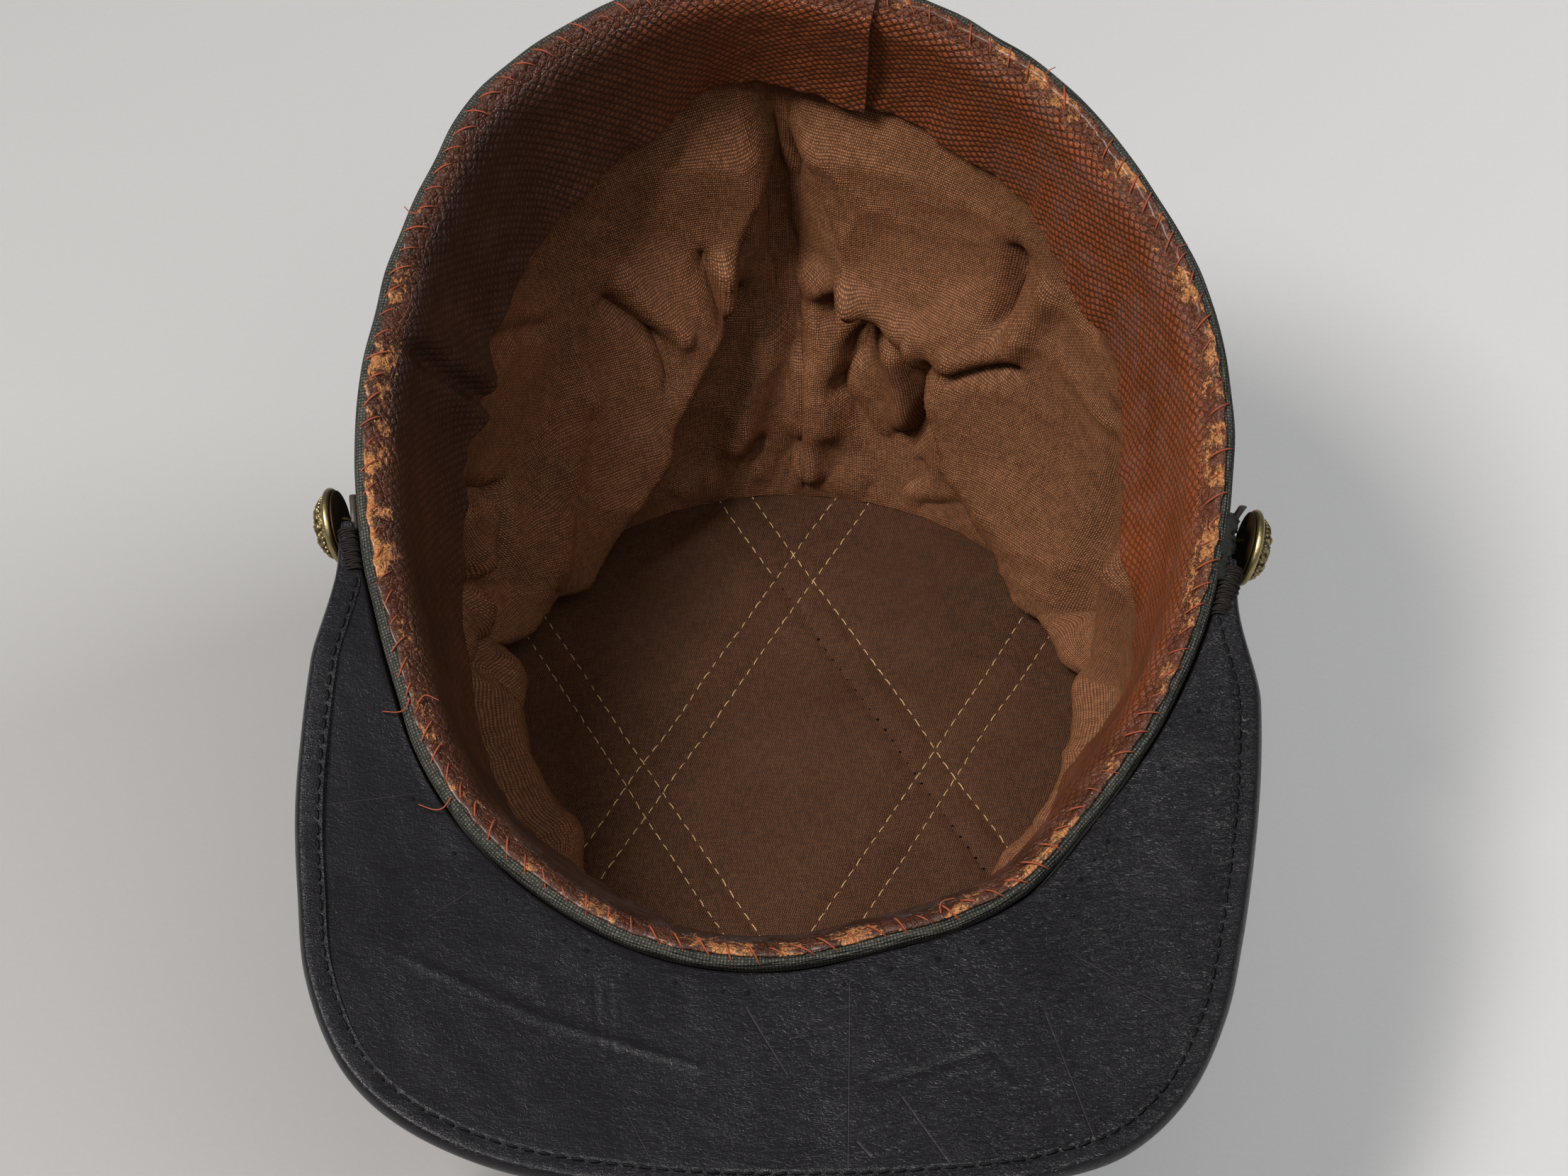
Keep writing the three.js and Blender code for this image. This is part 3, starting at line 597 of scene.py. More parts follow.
def lining_puckers(azimuth, level):
    """The short gathers where the side lining is sewn to the crown lining."""
    rng = np.random.default_rng(11)
    total = 0.0
    for place in np.arange(-180, 180, 7.5):
        middle = place + rng.uniform(-3, 3)
        lean = rng.uniform(-14, 14)
        width = rng.uniform(1.2, 2.6)
        push = rng.choice([-1, 1]) * rng.uniform(0.5, 1.3) * MM
        reach = rng.uniform(0.05, 0.13)
        away = wrapped(azimuth - middle - lean * (1 - level)) * MM_PER_DEGREE
        total = total + push * bell(away, width) * bell(1 - level, reach)
    return total


# Meshes


def quads(*corners):
    return np.stack(corners, -1).reshape(-1, 4)


def add_object(name, data):
    made = bpy.data.objects.new(name, data)
    bpy.context.scene.collection.objects.link(made)
    return made


def write_values(mesh, key, values):
    """One number for each point of a mesh, which its material can read."""
    layer = mesh.attributes.new(key, "FLOAT", "POINT")
    layer.data.foreach_set("value", np.asarray(values, np.float32).ravel())


def smooth_mesh(mesh, sharp):
    """Smooth faces with sharp edges wherever they meet at more than some degrees."""
    mesh.validate()
    mesh.shade_smooth()
    mesh.set_sharp_from_angle(angle=math.radians(sharp))


def closed_object(name, points, faces, uvs=None, attributes=None, sharp=50):
    """A mesh object with its faces turned outwards. uvs has one row for each face corner."""
    corners = points[faces[:, :4]]
    volume = np.einsum("ij,ij->i", corners[:, 0], np.cross(corners[:, 1], corners[:, 2])).sum()
    volume += np.einsum("ij,ij->i", corners[:, 0], np.cross(corners[:, 2], corners[:, 3])).sum()
    if volume < 0:
        faces = faces[:, ::-1]
        uvs = None if uvs is None else uvs.reshape(-1, 4, 2)[:, ::-1].reshape(-1, 2)
    mesh = bpy.data.meshes.new(name)
    mesh.from_pydata(points.tolist(), [], faces.tolist())
    if uvs is not None:
        mesh.uv_layers.new(name="UVMap").data.foreach_set("uv", uvs.astype(np.float32).ravel())
    for key, values in (attributes or {}).items():
        write_values(mesh, key, values)
    smooth_mesh(mesh, sharp)
    return add_object(name, mesh)


def loft(name, points, ring=False, attributes=None, sharp=80):
    """A closed body from sections carried along stations: points[station, corner, xyz].
    A ring joins its last station to its first, and other bodies are capped."""
    stations, corners = points.shape[:2]
    index = np.arange(stations * corners).reshape(stations, corners)
    index = np.concatenate([index, index[:, :1]], axis=1)
    whole = np.concatenate([points, points[:, :1]], axis=1)
    if ring:
        index = np.concatenate([index, index[:1]])
        whole = np.concatenate([whole, whole[:1]])
    along = np.linalg.norm(np.diff(whole, axis=0), axis=-1).mean(axis=1).cumsum()
    around = np.linalg.norm(np.diff(whole, axis=1), axis=-1).mean(axis=0).cumsum()
    u, v = np.concatenate([[0], along]), np.concatenate([[0], around])
    uv = np.stack(np.broadcast_arrays(u[:, None], v), -1)

    def skin(grid):
        return [grid[:-1, :-1], grid[1:, :-1], grid[1:, 1:], grid[:-1, 1:]]

    faces = quads(*skin(index))
    corner_uv = np.stack(skin(uv), -2).reshape(-1, 2)
    if not ring:
        half = corners // 2
        for end, turn in ((0, 1), (-1, -1)):
            row = index[end, :corners]
            near, far = row[:half], row[: corners - half - 1 : -1]
            cap = quads(near[:-1], near[1:], far[1:], far[:-1])[:, ::turn]
            faces = np.concatenate([faces, cap])
            corner_uv = np.concatenate([corner_uv, np.zeros((len(cap) * 4, 2))])
    return closed_object(name, points.reshape(-1, 3), faces, corner_uv, attributes, sharp)


def sheet_section(rows, corner, steps=4):
    """The way round the cut edge of a sheet, as shares of its width and of its thickness.
    It starts at the first edge and runs along the seen face and back along the other."""
    front = np.linspace(corner, 1 - corner, rows)
    back = np.linspace(1 - corner, corner, rows)
    turn = np.linspace(0, np.pi, steps + 2)[1:-1]
    width = [front, 1 - corner + corner * np.sin(turn), back, corner - corner * np.sin(turn)]
    depth = [np.zeros(len(front)), (1 - np.cos(turn)) / 2, np.ones(len(back)), (1 + np.cos(turn)) / 2]
    return np.concatenate(width), np.concatenate(depth)


def disc_grid(radius, count):
    """A square grid of places bent to fill a circle evenly, so that it has no pole."""
    edge = np.linspace(-1, 1, count + 1)
    x, y = np.meshgrid(edge, edge, indexing="ij")
    largest = np.maximum(np.abs(x), np.abs(y))
    length = np.maximum(np.hypot(x, y), 1e-9)
    return x * largest / length * radius, y * largest / length * radius


def disc_object(name, radius, count, top, bottom, attributes=None):
    """A closed round plate whose two faces have the heights top(x, y) and bottom(x, y)."""
    x, y = disc_grid(radius, count)
    outer = np.stack([x, y, top(x, y)], -1)
    inner = np.stack([x, y, bottom(x, y)], -1)
    size = count + 1
    grid = np.arange(2 * size * size).reshape(2, size, size)
    faces = [
        quads(grid[0, :-1, :-1], grid[0, 1:, :-1], grid[0, 1:, 1:], grid[0, :-1, 1:]),
        quads(grid[1, :-1, :-1], grid[1, :-1, 1:], grid[1, 1:, 1:], grid[1, 1:, :-1]),
        quads(grid[1, :-1, 0], grid[1, 1:, 0], grid[0, 1:, 0], grid[0, :-1, 0]),
        quads(grid[0, :-1, -1], grid[0, 1:, -1], grid[1, 1:, -1], grid[1, :-1, -1]),
        quads(grid[0, 0, :-1], grid[0, 0, 1:], grid[1, 0, 1:], grid[1, 0, :-1]),
        quads(grid[1, -1, :-1], grid[1, -1, 1:], grid[0, -1, 1:], grid[0, -1, :-1]),
    ]
    faces = np.concatenate(faces)
    points = np.concatenate([outer.reshape(-1, 3), inner.reshape(-1, 3)])
    values = {key: np.tile(value(x, y).ravel(), 2) for key, value in (attributes or {}).items()}
    return closed_object(name, points, faces, points[faces.ravel(), :2], values)


def tube_points(path, radius, corners):
    """Rings of points round a path, for a thread or a wire. radius may differ along it."""
    path = np.asarray(path, float)
    along = unit(np.gradient(path, axis=0))
    side = unit(np.cross(along, np.array([0.31, 0.17, 0.94])))
    up = np.cross(side, along)
    turn = full_circle(corners)
    radius = np.broadcast_to(radius, len(path))[:, None, None]
    ring = np.cos(turn)[None, :, None] * side[:, None] + np.sin(turn)[None, :, None] * up[:, None]
    return path[:, None] + ring * radius


def join(name, made):
    """Several mesh objects as one."""
    with bpy.context.temp_override(active_object=made[0], selected_editable_objects=made):
        bpy.ops.object.join()
    made[0].name = name
    made[0].data.name = name
    return made[0]


def dress(piece, material, replaces=()):
    """Gives a finished piece its material and its body, and hides the nodes that it stands for."""
    piece.data.materials.clear()
    piece.data.materials.append(material)
    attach(piece, BODY)
    if replaces:
        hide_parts(*replaces)
    return piece


# Node trees


class Field:
    """What a node gives, which can be added to and multiplied like a number."""

    def __init__(self, nodes, socket):
        self.nodes = nodes
        self.socket = socket

    def __add__(self, other):
        return self.nodes.math("ADD", self, other)

    def __sub__(self, other):
        return self.nodes.math("SUBTRACT", self, other)

    def __mul__(self, other):
        return self.nodes.math("MULTIPLY", self, other)

    def swing(self, amount):
        """A field from 0 to 1 as a swing of half the amount to each side of 0."""
        return (self - 0.5) * amount

    def ease(self, low, high):
        """0 below low, 1 above high, and smooth between."""
        inputs = {"Value": self, "From Min": low, "From Max": high}
        return self.nodes.field("ShaderNodeMapRange", inputs, interpolation_type="SMOOTHSTEP")


class Nodes:
    """A node tree, and short calls that add to it."""

    def __init__(self, tree):
        self.tree = tree

    def add(self, kind, inputs=None, **settings):
        node = self.tree.nodes.new(kind)
        for name, value in settings.items():
            setattr(node, name, value)
        for key, value in (inputs or {}).items():
            self.put(node.inputs[key], value)
        return node

    def put(self, socket, value):
        if isinstance(value, Field):
            value = value.socket
        if isinstance(value, bpy.types.NodeSocket):
            self.tree.links.new(value, socket)
        else:
            socket.default_value = value

    def field(self, kind, inputs=None, output=0, **settings):
        return Field(self, self.add(kind, inputs, **settings).outputs[output])

    def math(self, operation, first, second=0.0, clamp=False):
        inputs = {0: first, 1: second}
        return self.field("ShaderNodeMath", inputs, operation=operation, use_clamp=clamp)

    def vector(self, operation, first, second, output=0):
        inputs = {0: first, 1: second}
        return self.field("ShaderNodeVectorMath", inputs, output, operation=operation)

    def split(self, vector):
        return [Field(self, part) for part in self.add("ShaderNodeSeparateXYZ", {0: vector}).outputs]

    def mix(self, factor, first, second):
        """One colour to the other by a factor. Each is a field or a red, green and blue."""
        colours = [(*value, 1.0) if isinstance(value, tuple) else value for value in (first, second)]
        inputs = {0: factor, 6: colours[0], 7: colours[1]}
        return self.field("ShaderNodeMix", inputs, 2, data_type="RGBA")

    def solid_place(self):
        return self.field("ShaderNodeTexCoord", output="Object")

    def sheet_place(self):
        return self.field("ShaderNodeUVMap", uv_map="UVMap")

    def mapped(self, place, scale=(1, 1, 1), turn=0.0):
        inputs = {"Vector": place, "Scale": scale, "Rotation": (0, 0, turn)}
        return self.field("ShaderNodeMapping", inputs)

    def noise(self, place, size, detail=2.0, roughness=0.5, distortion=0.0):
        """Noise from 0 to 1 whose lumps are about size across, in metres."""
        inputs = {"Vector": place, "Scale": 1 / size, "Detail": detail, "Roughness": roughness}
        inputs["Distortion"] = distortion
        return self.field("ShaderNodeTexNoise", inputs)

    def cracks(self, place, size):
        """Distance from the lines of a cracked surface whose plates are about size across."""
        inputs = {"Vector": place, "Scale": 1 / size}
        return self.field("ShaderNodeTexVoronoi", inputs, "Distance", feature="DISTANCE_TO_EDGE")

    def attribute(self, name):
        return self.field("ShaderNodeAttribute", output="Fac", attribute_name=name)

    def bump(self, height, distance, strength=1.0, normal=None):
        inputs = {"Height": height, "Distance": distance, "Strength": strength}
        if normal is not None:
            inputs["Normal"] = normal
        return self.field("ShaderNodeBump", inputs)


def new_material(name, **constants):
    """A material, its nodes and its main shader, with what is the same all over set on it."""
    material = bpy.data.materials.new(name)
    material.use_nodes = True
    shader = material.node_tree.nodes["Principled BSDF"]
    for key, value in constants.items():
        shader.inputs[key.replace("_", " ")].default_value = value
    return material, Nodes(material.node_tree), shader


def shade(colour, factor):
    return tuple(min(channel * factor, 1.0) for channel in colour)


def weave(nodes, place, pitch, turn):
    """The height, 0 to 1, of a plain weave whose threads pass over and under by turns."""
    across, along, _ = nodes.split(nodes.mapped(place, turn=turn))
    warp, weft = [nodes.math("SINE", part * (math.pi / pitch)) for part in (across, along)]
    crossing = warp * weft
    return nodes.math("ABSOLUTE", crossing) * 0.85 + crossing * 0.15


def cloth_material(name, colour, pitch, turn, worn, roughness, dirt, ribs=0.0):
    """Woven cloth: threads, slubs, and stains of its own colour, with painted shade in the gaps between the
    threads and painted highlights on their tops. Ribs run along its length.
    """
    material, nodes, shader = new_material(name, Sheen_Weight=0.04, Specular_IOR_Level=0.15)
    shader.inputs["Sheen Tint"].default_value = (*shade(colour, 4), 1)
    place, solid = nodes.sheet_place(), nodes.solid_place()
    pull = nodes.noise(place, 9 * MM, detail=1).swing(0.6 * MM)
    bent = nodes.vector("ADD", place, nodes.field("ShaderNodeCombineXYZ", {0: pull, 1: pull}))
    threads = weave(nodes, bent, pitch, turn)
    slubs = nodes.noise(nodes.mapped(bent, (1, 9, 1), turn), 3 * MM, detail=1)
    slubs_across = nodes.noise(nodes.mapped(bent, (9, 1, 1), turn), 3 * MM, detail=1)
    stains = nodes.noise(solid, 26 * MM, detail=3, roughness=0.6)
    patches = nodes.noise(solid, 9 * MM, detail=3, roughness=0.6)
    warm = nodes.mix(stains.ease(0.38, 0.66), shade(colour, dirt), worn)
    cloudy = nodes.mix(patches.ease(0.3, 0.75), warm, colour)
    streaks = (slubs + slubs_across) * 0.5
    tint = nodes.mix(streaks.ease(0.4, 0.62), shade(colour, 0.6), shade(worn, 1.35))
    mottled = nodes.mix(0.55, cloudy, tint)
    # Painted shade: the gaps between the threads are darkened towards a quarter of the colour.
    painted_gap_shade = nodes.mix(threads.ease(0.05, 0.75), shade(colour, 0.25), mottled)
    # Painted highlight: the tops of the threads are lightened towards the worn colour.
    painted_thread_highlight = nodes.mix(threads.ease(0.72, 1.0), painted_gap_shade, shade(worn, 1.5))
    nodes.put(shader.inputs["Base Color"], nodes.mix(0.85, mottled, painted_thread_highlight))
    nodes.put(shader.inputs["Roughness"], patches * 0.25 + roughness)
    relief = threads + streaks * 0.8
    if ribs:
        rib = nodes.noise(nodes.mapped(place, (0.12, 1, 1)), 1.1 * MM, detail=2, roughness=0.6)
        relief = relief + rib.ease(0.35, 0.65) * ribs
    coarse = nodes.bump(nodes.noise(solid, 5 * MM, detail=4), 0.5 * MM, 0.35)
    nodes.put(shader.inputs["Normal"], nodes.bump(relief, 0.16 * MM, 0.9, coarse))
    return material


def sweat_material(colours):
    """Embossed leather: raised lozenges with painted shade in the grooves between them, bloom, and an edge
    cracked and worn to bare tan.
    """
    material, nodes, shader = new_material("sweatband_leather", Coat_Weight=0.22, Coat_Roughness=0.3)
    place, solid = nodes.sheet_place(), nodes.solid_place()
    keys = ("tone", "emboss", "wear", "bloom", "edge")
    tone, emboss, wear, bloom, edge = [nodes.attribute(key) for key in keys]
    dark, orange, bare_tan = colours.sweat_dark, colours.sweat_orange, colours.sweat_tan
    dots = weave(nodes, place, 1.55 * MM, math.radians(38)).ease(0.12, 0.6)
    grain = nodes.noise(place, 0.5 * MM, detail=3, roughness=0.7)
    mottle = nodes.noise(solid, 7 * MM, detail=4, roughness=0.65)
    cloud = nodes.noise(solid, 22 * MM, detail=2)
    # tone is partly the leather's own colour and partly painted light, raised at the back and the right
    # where the light falls.
    shift = tone + cloud.swing(0.5) + mottle.swing(0.5)
    leather = nodes.mix(shift.ease(0.0, 1.0), dark, orange)
    pressed = emboss * 0.8
    # Painted shade: the grooves between the raised lozenges are darkened towards the dark leather.
    skin = nodes.mix(pressed, leather, nodes.mix(dots, shade(dark, 0.9), leather))
    cover = bloom * mottle.ease(0.42, 0.68)
    skin = nodes.mix(cover * 0.6, skin, colours.bloom)
    scuffs = nodes.noise(nodes.mapped(place, (1, 2.4, 1), 0.6), 2.2 * MM, detail=4, roughness=0.7)
    skin = nodes.mix(scuffs.ease(0.66, 0.72) * 0.35, skin, bare_tan)
    ragged = nodes.noise(nodes.mapped(place, (1, 1.5, 1)), 2.4 * MM, detail=6, roughness=0.78)
    patch = nodes.noise(solid, 9 * MM, detail=1).ease(0.4, 0.62)
    spread = patch * 0.21 + 0.14
    bare = (ragged + grain.swing(0.16) + edge * wear * spread).ease(0.73, 0.78)
    dulled = nodes.mix(mottle, shade(dark, 0.5), shade(orange, 0.5))
    skin = nodes.mix(edge.ease(0.55, 0.9) * 0.75, skin, dulled)
    tan = nodes.mix(grain.ease(0.3, 0.7), shade(bare_tan, 0.4), shade(bare_tan, 1.25))
    nodes.put(shader.inputs["Base Color"], nodes.mix(bare, skin, tan))
    smooth = nodes.mix(bare, (0.42, 0.42, 0.42), (0.85, 0.85, 0.85))
    nodes.put(shader.inputs["Roughness"], smooth + mottle.swing(0.3))
    plates = nodes.cracks(place, 1.6 * MM).ease(0.0, 0.12)
    twisted = nodes.noise(nodes.mapped(place, (1.7, 0.45, 1), 0.7), 1.1 * MM, detail=3, roughness=0.6)
    crackle = (plates + twisted.ease(0.35, 0.65) * 1.6) * edge
    relief = dots * pressed + grain * 0.5 + crackle + bare * -0.9
    wrinkle = nodes.bump(nodes.noise(solid, 3.5 * MM, detail=4), 0.5 * MM, 0.4)
    nodes.put(shader.inputs["Normal"], nodes.bump(relief, 0.28 * MM, 0.9, wrinkle))
    return material


def black_leather(name, colour, roughness, scratches=(), grain_size=1.1 * MM, shine=0.15):
    """Waxed black leather: fine wrinkles that swell and fade, scuffs, and long scratches."""
    material, nodes, shader = new_material(name, Specular_IOR_Level=shine)
    place, solid = nodes.sheet_place(), nodes.solid_place()
    pores = nodes.noise(solid, grain_size * 0.45, detail=3, roughness=0.6)
    area = nodes.noise(solid, 24 * MM, detail=2)
    run = nodes.mapped(solid, (1, 2.6, 2.6), 0.4)
    wrinkles = nodes.noise(run, grain_size * 2.4, detail=2, roughness=0.55, distortion=1.2)
    heavier = nodes.split(solid)[0].ease(-20 * MM, 50 * MM) * 0.6 + 0.25
    patchy = area.ease(0.35, 0.65) * 0.6 + 0.4
    ridges = nodes.math("ABSOLUTE", wrinkles - 0.5).ease(0.0, 0.09) * (heavier * patchy)
    scuffs = nodes.noise(nodes.mapped(solid, (1, 5, 5), 1.1), 4 * MM, detail=5, roughness=0.75)
    dust = scuffs.ease(0.6, 0.78)
    base = nodes.mix(dust * 0.25, colour, shade(colour, 2))
    streaks = nodes.noise(nodes.mapped(solid, (4, 1, 1), 0.35), grain_size * 1.6, detail=4, roughness=0.7)
    relief = pores * 0.3 + ridges * 0.6 + streaks * 0.3
    for left, front, right, to_front, width in scratches:
        start, end = (left * MM, front * MM), (right * MM, to_front * MM)
        mark = scratch_mask(nodes, place, start, end, width * MM)
        relief = relief + mark * -0.7
        base = nodes.mix(mark * 0.6, base, shade(colour, 6))
    nodes.put(shader.inputs["Base Color"], base)
    nodes.put(shader.inputs["Roughness"], area.swing(0.15) + roughness + dust * 0.1)
    broad = nodes.bump(nodes.noise(solid, 6 * MM, detail=3), 0.8 * MM, 0.25)
    nodes.put(shader.inputs["Normal"], nodes.bump(relief, 0.26 * MM, 1.0, broad))
    return material


def scratch_mask(nodes, place, start, end, width):
    """1 along a straight scratch and 0 away from it, on a plane that is measured in metres."""
    way = (end[0] - start[0], end[1] - start[1], 0)
    square = way[0] ** 2 + way[1] ** 2
    away = nodes.vector("SUBTRACT", place, (*start, 0))
    part = nodes.math("DIVIDE", nodes.vector("DOT_PRODUCT", away, way, "Value"), square, clamp=True)
    foot = nodes.field("ShaderNodeVectorMath", {0: way, "Scale": part}, operation="SCALE")
    return nodes.vector("DISTANCE", away, foot, "Value").ease(width * 0.75, width * 0.2)


def thread_material(name, colour, roughness=0.75):
    """Twisted thread: fine slanting strands, lighter and darker along it."""
    material, nodes, shader = new_material(name, Specular_IOR_Level=0.12, Roughness=roughness)
    solid = nodes.solid_place()
    strands = nodes.noise(solid, 0.22 * MM, detail=2)
    drift = nodes.noise(solid, 5 * MM, detail=2)
    tint = nodes.mix(drift, shade(colour, 0.6), shade(colour, 1.2))
    nodes.put(shader.inputs["Base Color"], nodes.mix(strands, shade(colour, 0.6), tint))
    nodes.put(shader.inputs["Normal"], nodes.bump(strands, 0.08 * MM))
    return material


def brass_material(colours):
    """Old brass: rubbed bright where it stands out, dark and green in the hollows."""
    material, nodes, shader = new_material("aged_brass", Metallic=1.0)
    solid = nodes.solid_place()
    relief = nodes.attribute("relief")
    spots = nodes.noise(solid, 1.1 * MM, detail=4, roughness=0.65)
    patches = nodes.noise(solid, 5 * MM, detail=2)
    height = relief + spots.swing(0.5)
    crust = patches.ease(0.54, 0.64) * relief.ease(0.16, 0.32)
    dull = nodes.mix(crust, colours.brass_dark, colours.patina)
    nodes.put(shader.inputs["Base Color"], nodes.mix(height.ease(0.2, 0.75), dull, colours.brass))
    nodes.put(shader.inputs["Roughness"], height.ease(0.2, 0.9) * -0.35 + 0.7)
    nodes.put(shader.inputs["Normal"], nodes.bump(spots, 0.12 * MM, 0.7))
    return material


# What repeats along a path


def repeat_tree():
    """Geometry nodes that set a unit along paths, turned to the path and to the surface."""
    tree = bpy.data.node_groups.new("Repeat along a path", "GeometryNodeTree")
    sockets = [
        ("Paths", "NodeSocketGeometry"), ("Unit", "NodeSocketObject"), ("Pitch", "NodeSocketFloat"),
        ("Slant", "NodeSocketFloat"), ("Slant Spread", "NodeSocketFloat"),
        ("Size Spread", "NodeSocketFloat"), ("Keep", "NodeSocketFloat"), ("Seed", "NodeSocketInt"),
        ("Material", "NodeSocketMaterial"),
    ]
    for name, kind in sockets:
        tree.interface.new_socket(name=name, in_out="INPUT", socket_type=kind)
    tree.interface.new_socket(name="Mesh", in_out="OUTPUT", socket_type="NodeSocketGeometry")
    nodes = Nodes(tree)
    given = nodes.add("NodeGroupInput").outputs

    def chance(low, high, shift):
        inputs = {2: low, 3: high, 8: nodes.math("ADD", given["Seed"], shift)}
        return nodes.field("FunctionNodeRandomValue", inputs, 1, data_type="FLOAT")

    curves = nodes.field("GeometryNodeMeshToCurve", {0: given["Paths"]})
    inputs = {0: curves, "Length": given["Pitch"]}
    points = nodes.add("GeometryNodeCurveToPoints", inputs, mode="LENGTH").outputs
    facing = nodes.field("GeometryNodeInputNamedAttribute", {0: "facing"}, data_type="FLOAT_VECTOR")
    upright = nodes.field("FunctionNodeAlignRotationToVector", {"Vector": facing}, axis="Z")
    inputs = {"Rotation": upright, "Vector": points["Tangent"]}
    along = nodes.field("FunctionNodeAlignRotationToVector", inputs, axis="X", pivot_axis="Z")
    spread = chance(-1.0, 1.0, 0) * given["Slant Spread"]
    turn = nodes.field("ShaderNodeCombineXYZ", {2: spread + given["Slant"]})
    spin = nodes.field("FunctionNodeEulerToRotation", {0: turn})
    aimed = nodes.field("FunctionNodeRotateRotation", {0: along, 1: spin}, rotation_space="LOCAL")
    grow = chance(-1.0, 1.0, 1) * given["Size Spread"]
    inputs = {0: chance(0.0, 1.0, 2), 1: given["Keep"]}
    kept = nodes.field("FunctionNodeCompare", inputs, data_type="FLOAT", operation="LESS_THAN")
    unit_mesh = nodes.field("GeometryNodeObjectInfo", {"Object": given["Unit"]}, "Geometry")
    placed = nodes.field("GeometryNodeInstanceOnPoints", {
        "Points": points["Points"], "Selection": kept, "Instance": unit_mesh, "Rotation": aimed,
        "Scale": grow + 1.0})
    whole = nodes.field("GeometryNodeRealizeInstances", {0: placed})
    dressed = nodes.add("GeometryNodeSetMaterial", {0: whole, "Material": given["Material"]})
    nodes.add("NodeGroupOutput", {0: dressed.outputs[0]})
    return tree


def repeat_along(name, paths, unit_mesh, material, **sizes):
    """A plain mesh of units set along paths. Each path is points and the way they face."""
    tree = bpy.data.node_groups.get("Repeat along a path") or repeat_tree()
    mesh = bpy.data.meshes.new(name)
    counts = [len(points) for points, _ in paths]
    starts = np.cumsum([0] + counts)
    edges = [(start + i, start + i + 1) for start, count in zip(starts, counts) for i in range(count - 1)]
    mesh.from_pydata(np.concatenate([points for points, _ in paths]).tolist(), edges, [])
    facing = np.concatenate([np.broadcast_to(way, points.shape) for points, way in paths])
    layer = mesh.attributes.new("facing", "FLOAT_VECTOR", "POINT")
    layer.data.foreach_set("vector", facing.astype(np.float32).ravel())
    carrier = add_object(name + "_path", mesh)
    modifier = carrier.modifiers.new("Repeat", "NODES")
    modifier.node_group = tree
    given = {"Unit": unit_mesh, "Material": material, "Slant": 0.0, "Slant Spread": 0.0}
    given.update({"Size Spread": 0.0, "Keep": 1.1, "Seed": 1})
    given.update({key.replace("_", " ").title(): value for key, value in sizes.items()})
    for item in tree.interface.items_tree:
        if item.in_out == "INPUT" and item.name in given:
            modifier[item.identifier] = given[item.name]
    evaluated = carrier.evaluated_get(bpy.context.evaluated_depsgraph_get())
    result = bpy.data.meshes.new_from_object(evaluated)
    carrier.modifiers.remove(modifier)
    bpy.data.objects.remove(carrier)
    result.name = name
    result.shade_smooth()
    return add_object(name, result)


def sew(name, paths, unit_mesh, material, **sizes):
    """Stitches, or dark dots that paint the shade in needle holes, along paths, as a finished piece."""
    return dress(repeat_along(name, paths, unit_mesh, material, **sizes), material)


def hidden_unit(made):
    """A unit for repeating, kept out of the scene's own collection."""
    bpy.context.scene.collection.objects.unlink(made)
    return made


def thread_unit(name, length, radius, bow, steps=6):
    """One stitch: a short thread that rises in the middle and dives at both ends."""
    part = np.linspace(-1, 1, steps + 1)
    path = np.stack([part * length / 2, 0 * part, bow * (1 - 2 * part**2)], -1)
    thick = radius * np.sqrt(np.clip(1.08 - np.abs(part) ** 4, 0.05, 1))
    return hidden_unit(loft(name, tube_points(path, thick, THREAD_CORNERS)))


def ring_unit(name, radius, wire):
    """One turn of thread round a neck that runs along X."""
    steps, corners = 14, 5
    turn = full_circle(steps)
    centre = np.stack([0 * turn, np.cos(turn), np.sin(turn)], -1)
    around = full_circle(corners)
    out = np.cos(around)[None, :, None] * centre[:, None]
    out[..., 0] += np.sin(around)[None]
    return hidden_unit(loft(name, centre[:, None] * radius + out * wire, ring=True))


def bead_unit(name, radius, flat=1.0):
    """A small round bead or, pressed flat, a dark dot that paints the shade inside a needle hole."""
    steps, corners = 5, 8
    turn = np.linspace(0.15, np.pi - 0.15, steps)
    path = np.stack([0 * turn, 0 * turn, -np.cos(turn) * radius * flat], -1)
    return hidden_unit(loft(name, tube_points(path, np.sin(turn) * radius, corners)))


# Sizes and colours that a user would change


def length(name, default, description):
    return bpy.props.FloatProperty(
        name=name, description=description, default=default, min=0, precision=5, unit="LENGTH")


def angle(name, default, description):
    return bpy.props.FloatProperty(
        name=name, description=description, default=math.radians(default), unit="ROTATION")


def colour(name, red, green, blue, description):
    """A colour property whose default is given as 0 to 255 on screen."""
    linear = [((channel / 255 + 0.055) / 1.055) ** 2.4 for channel in (red, green, blue)]
    return bpy.props.FloatVectorProperty(
        name=name, description=description, default=linear, size=3, min=0, max=1, subtype="COLOR")


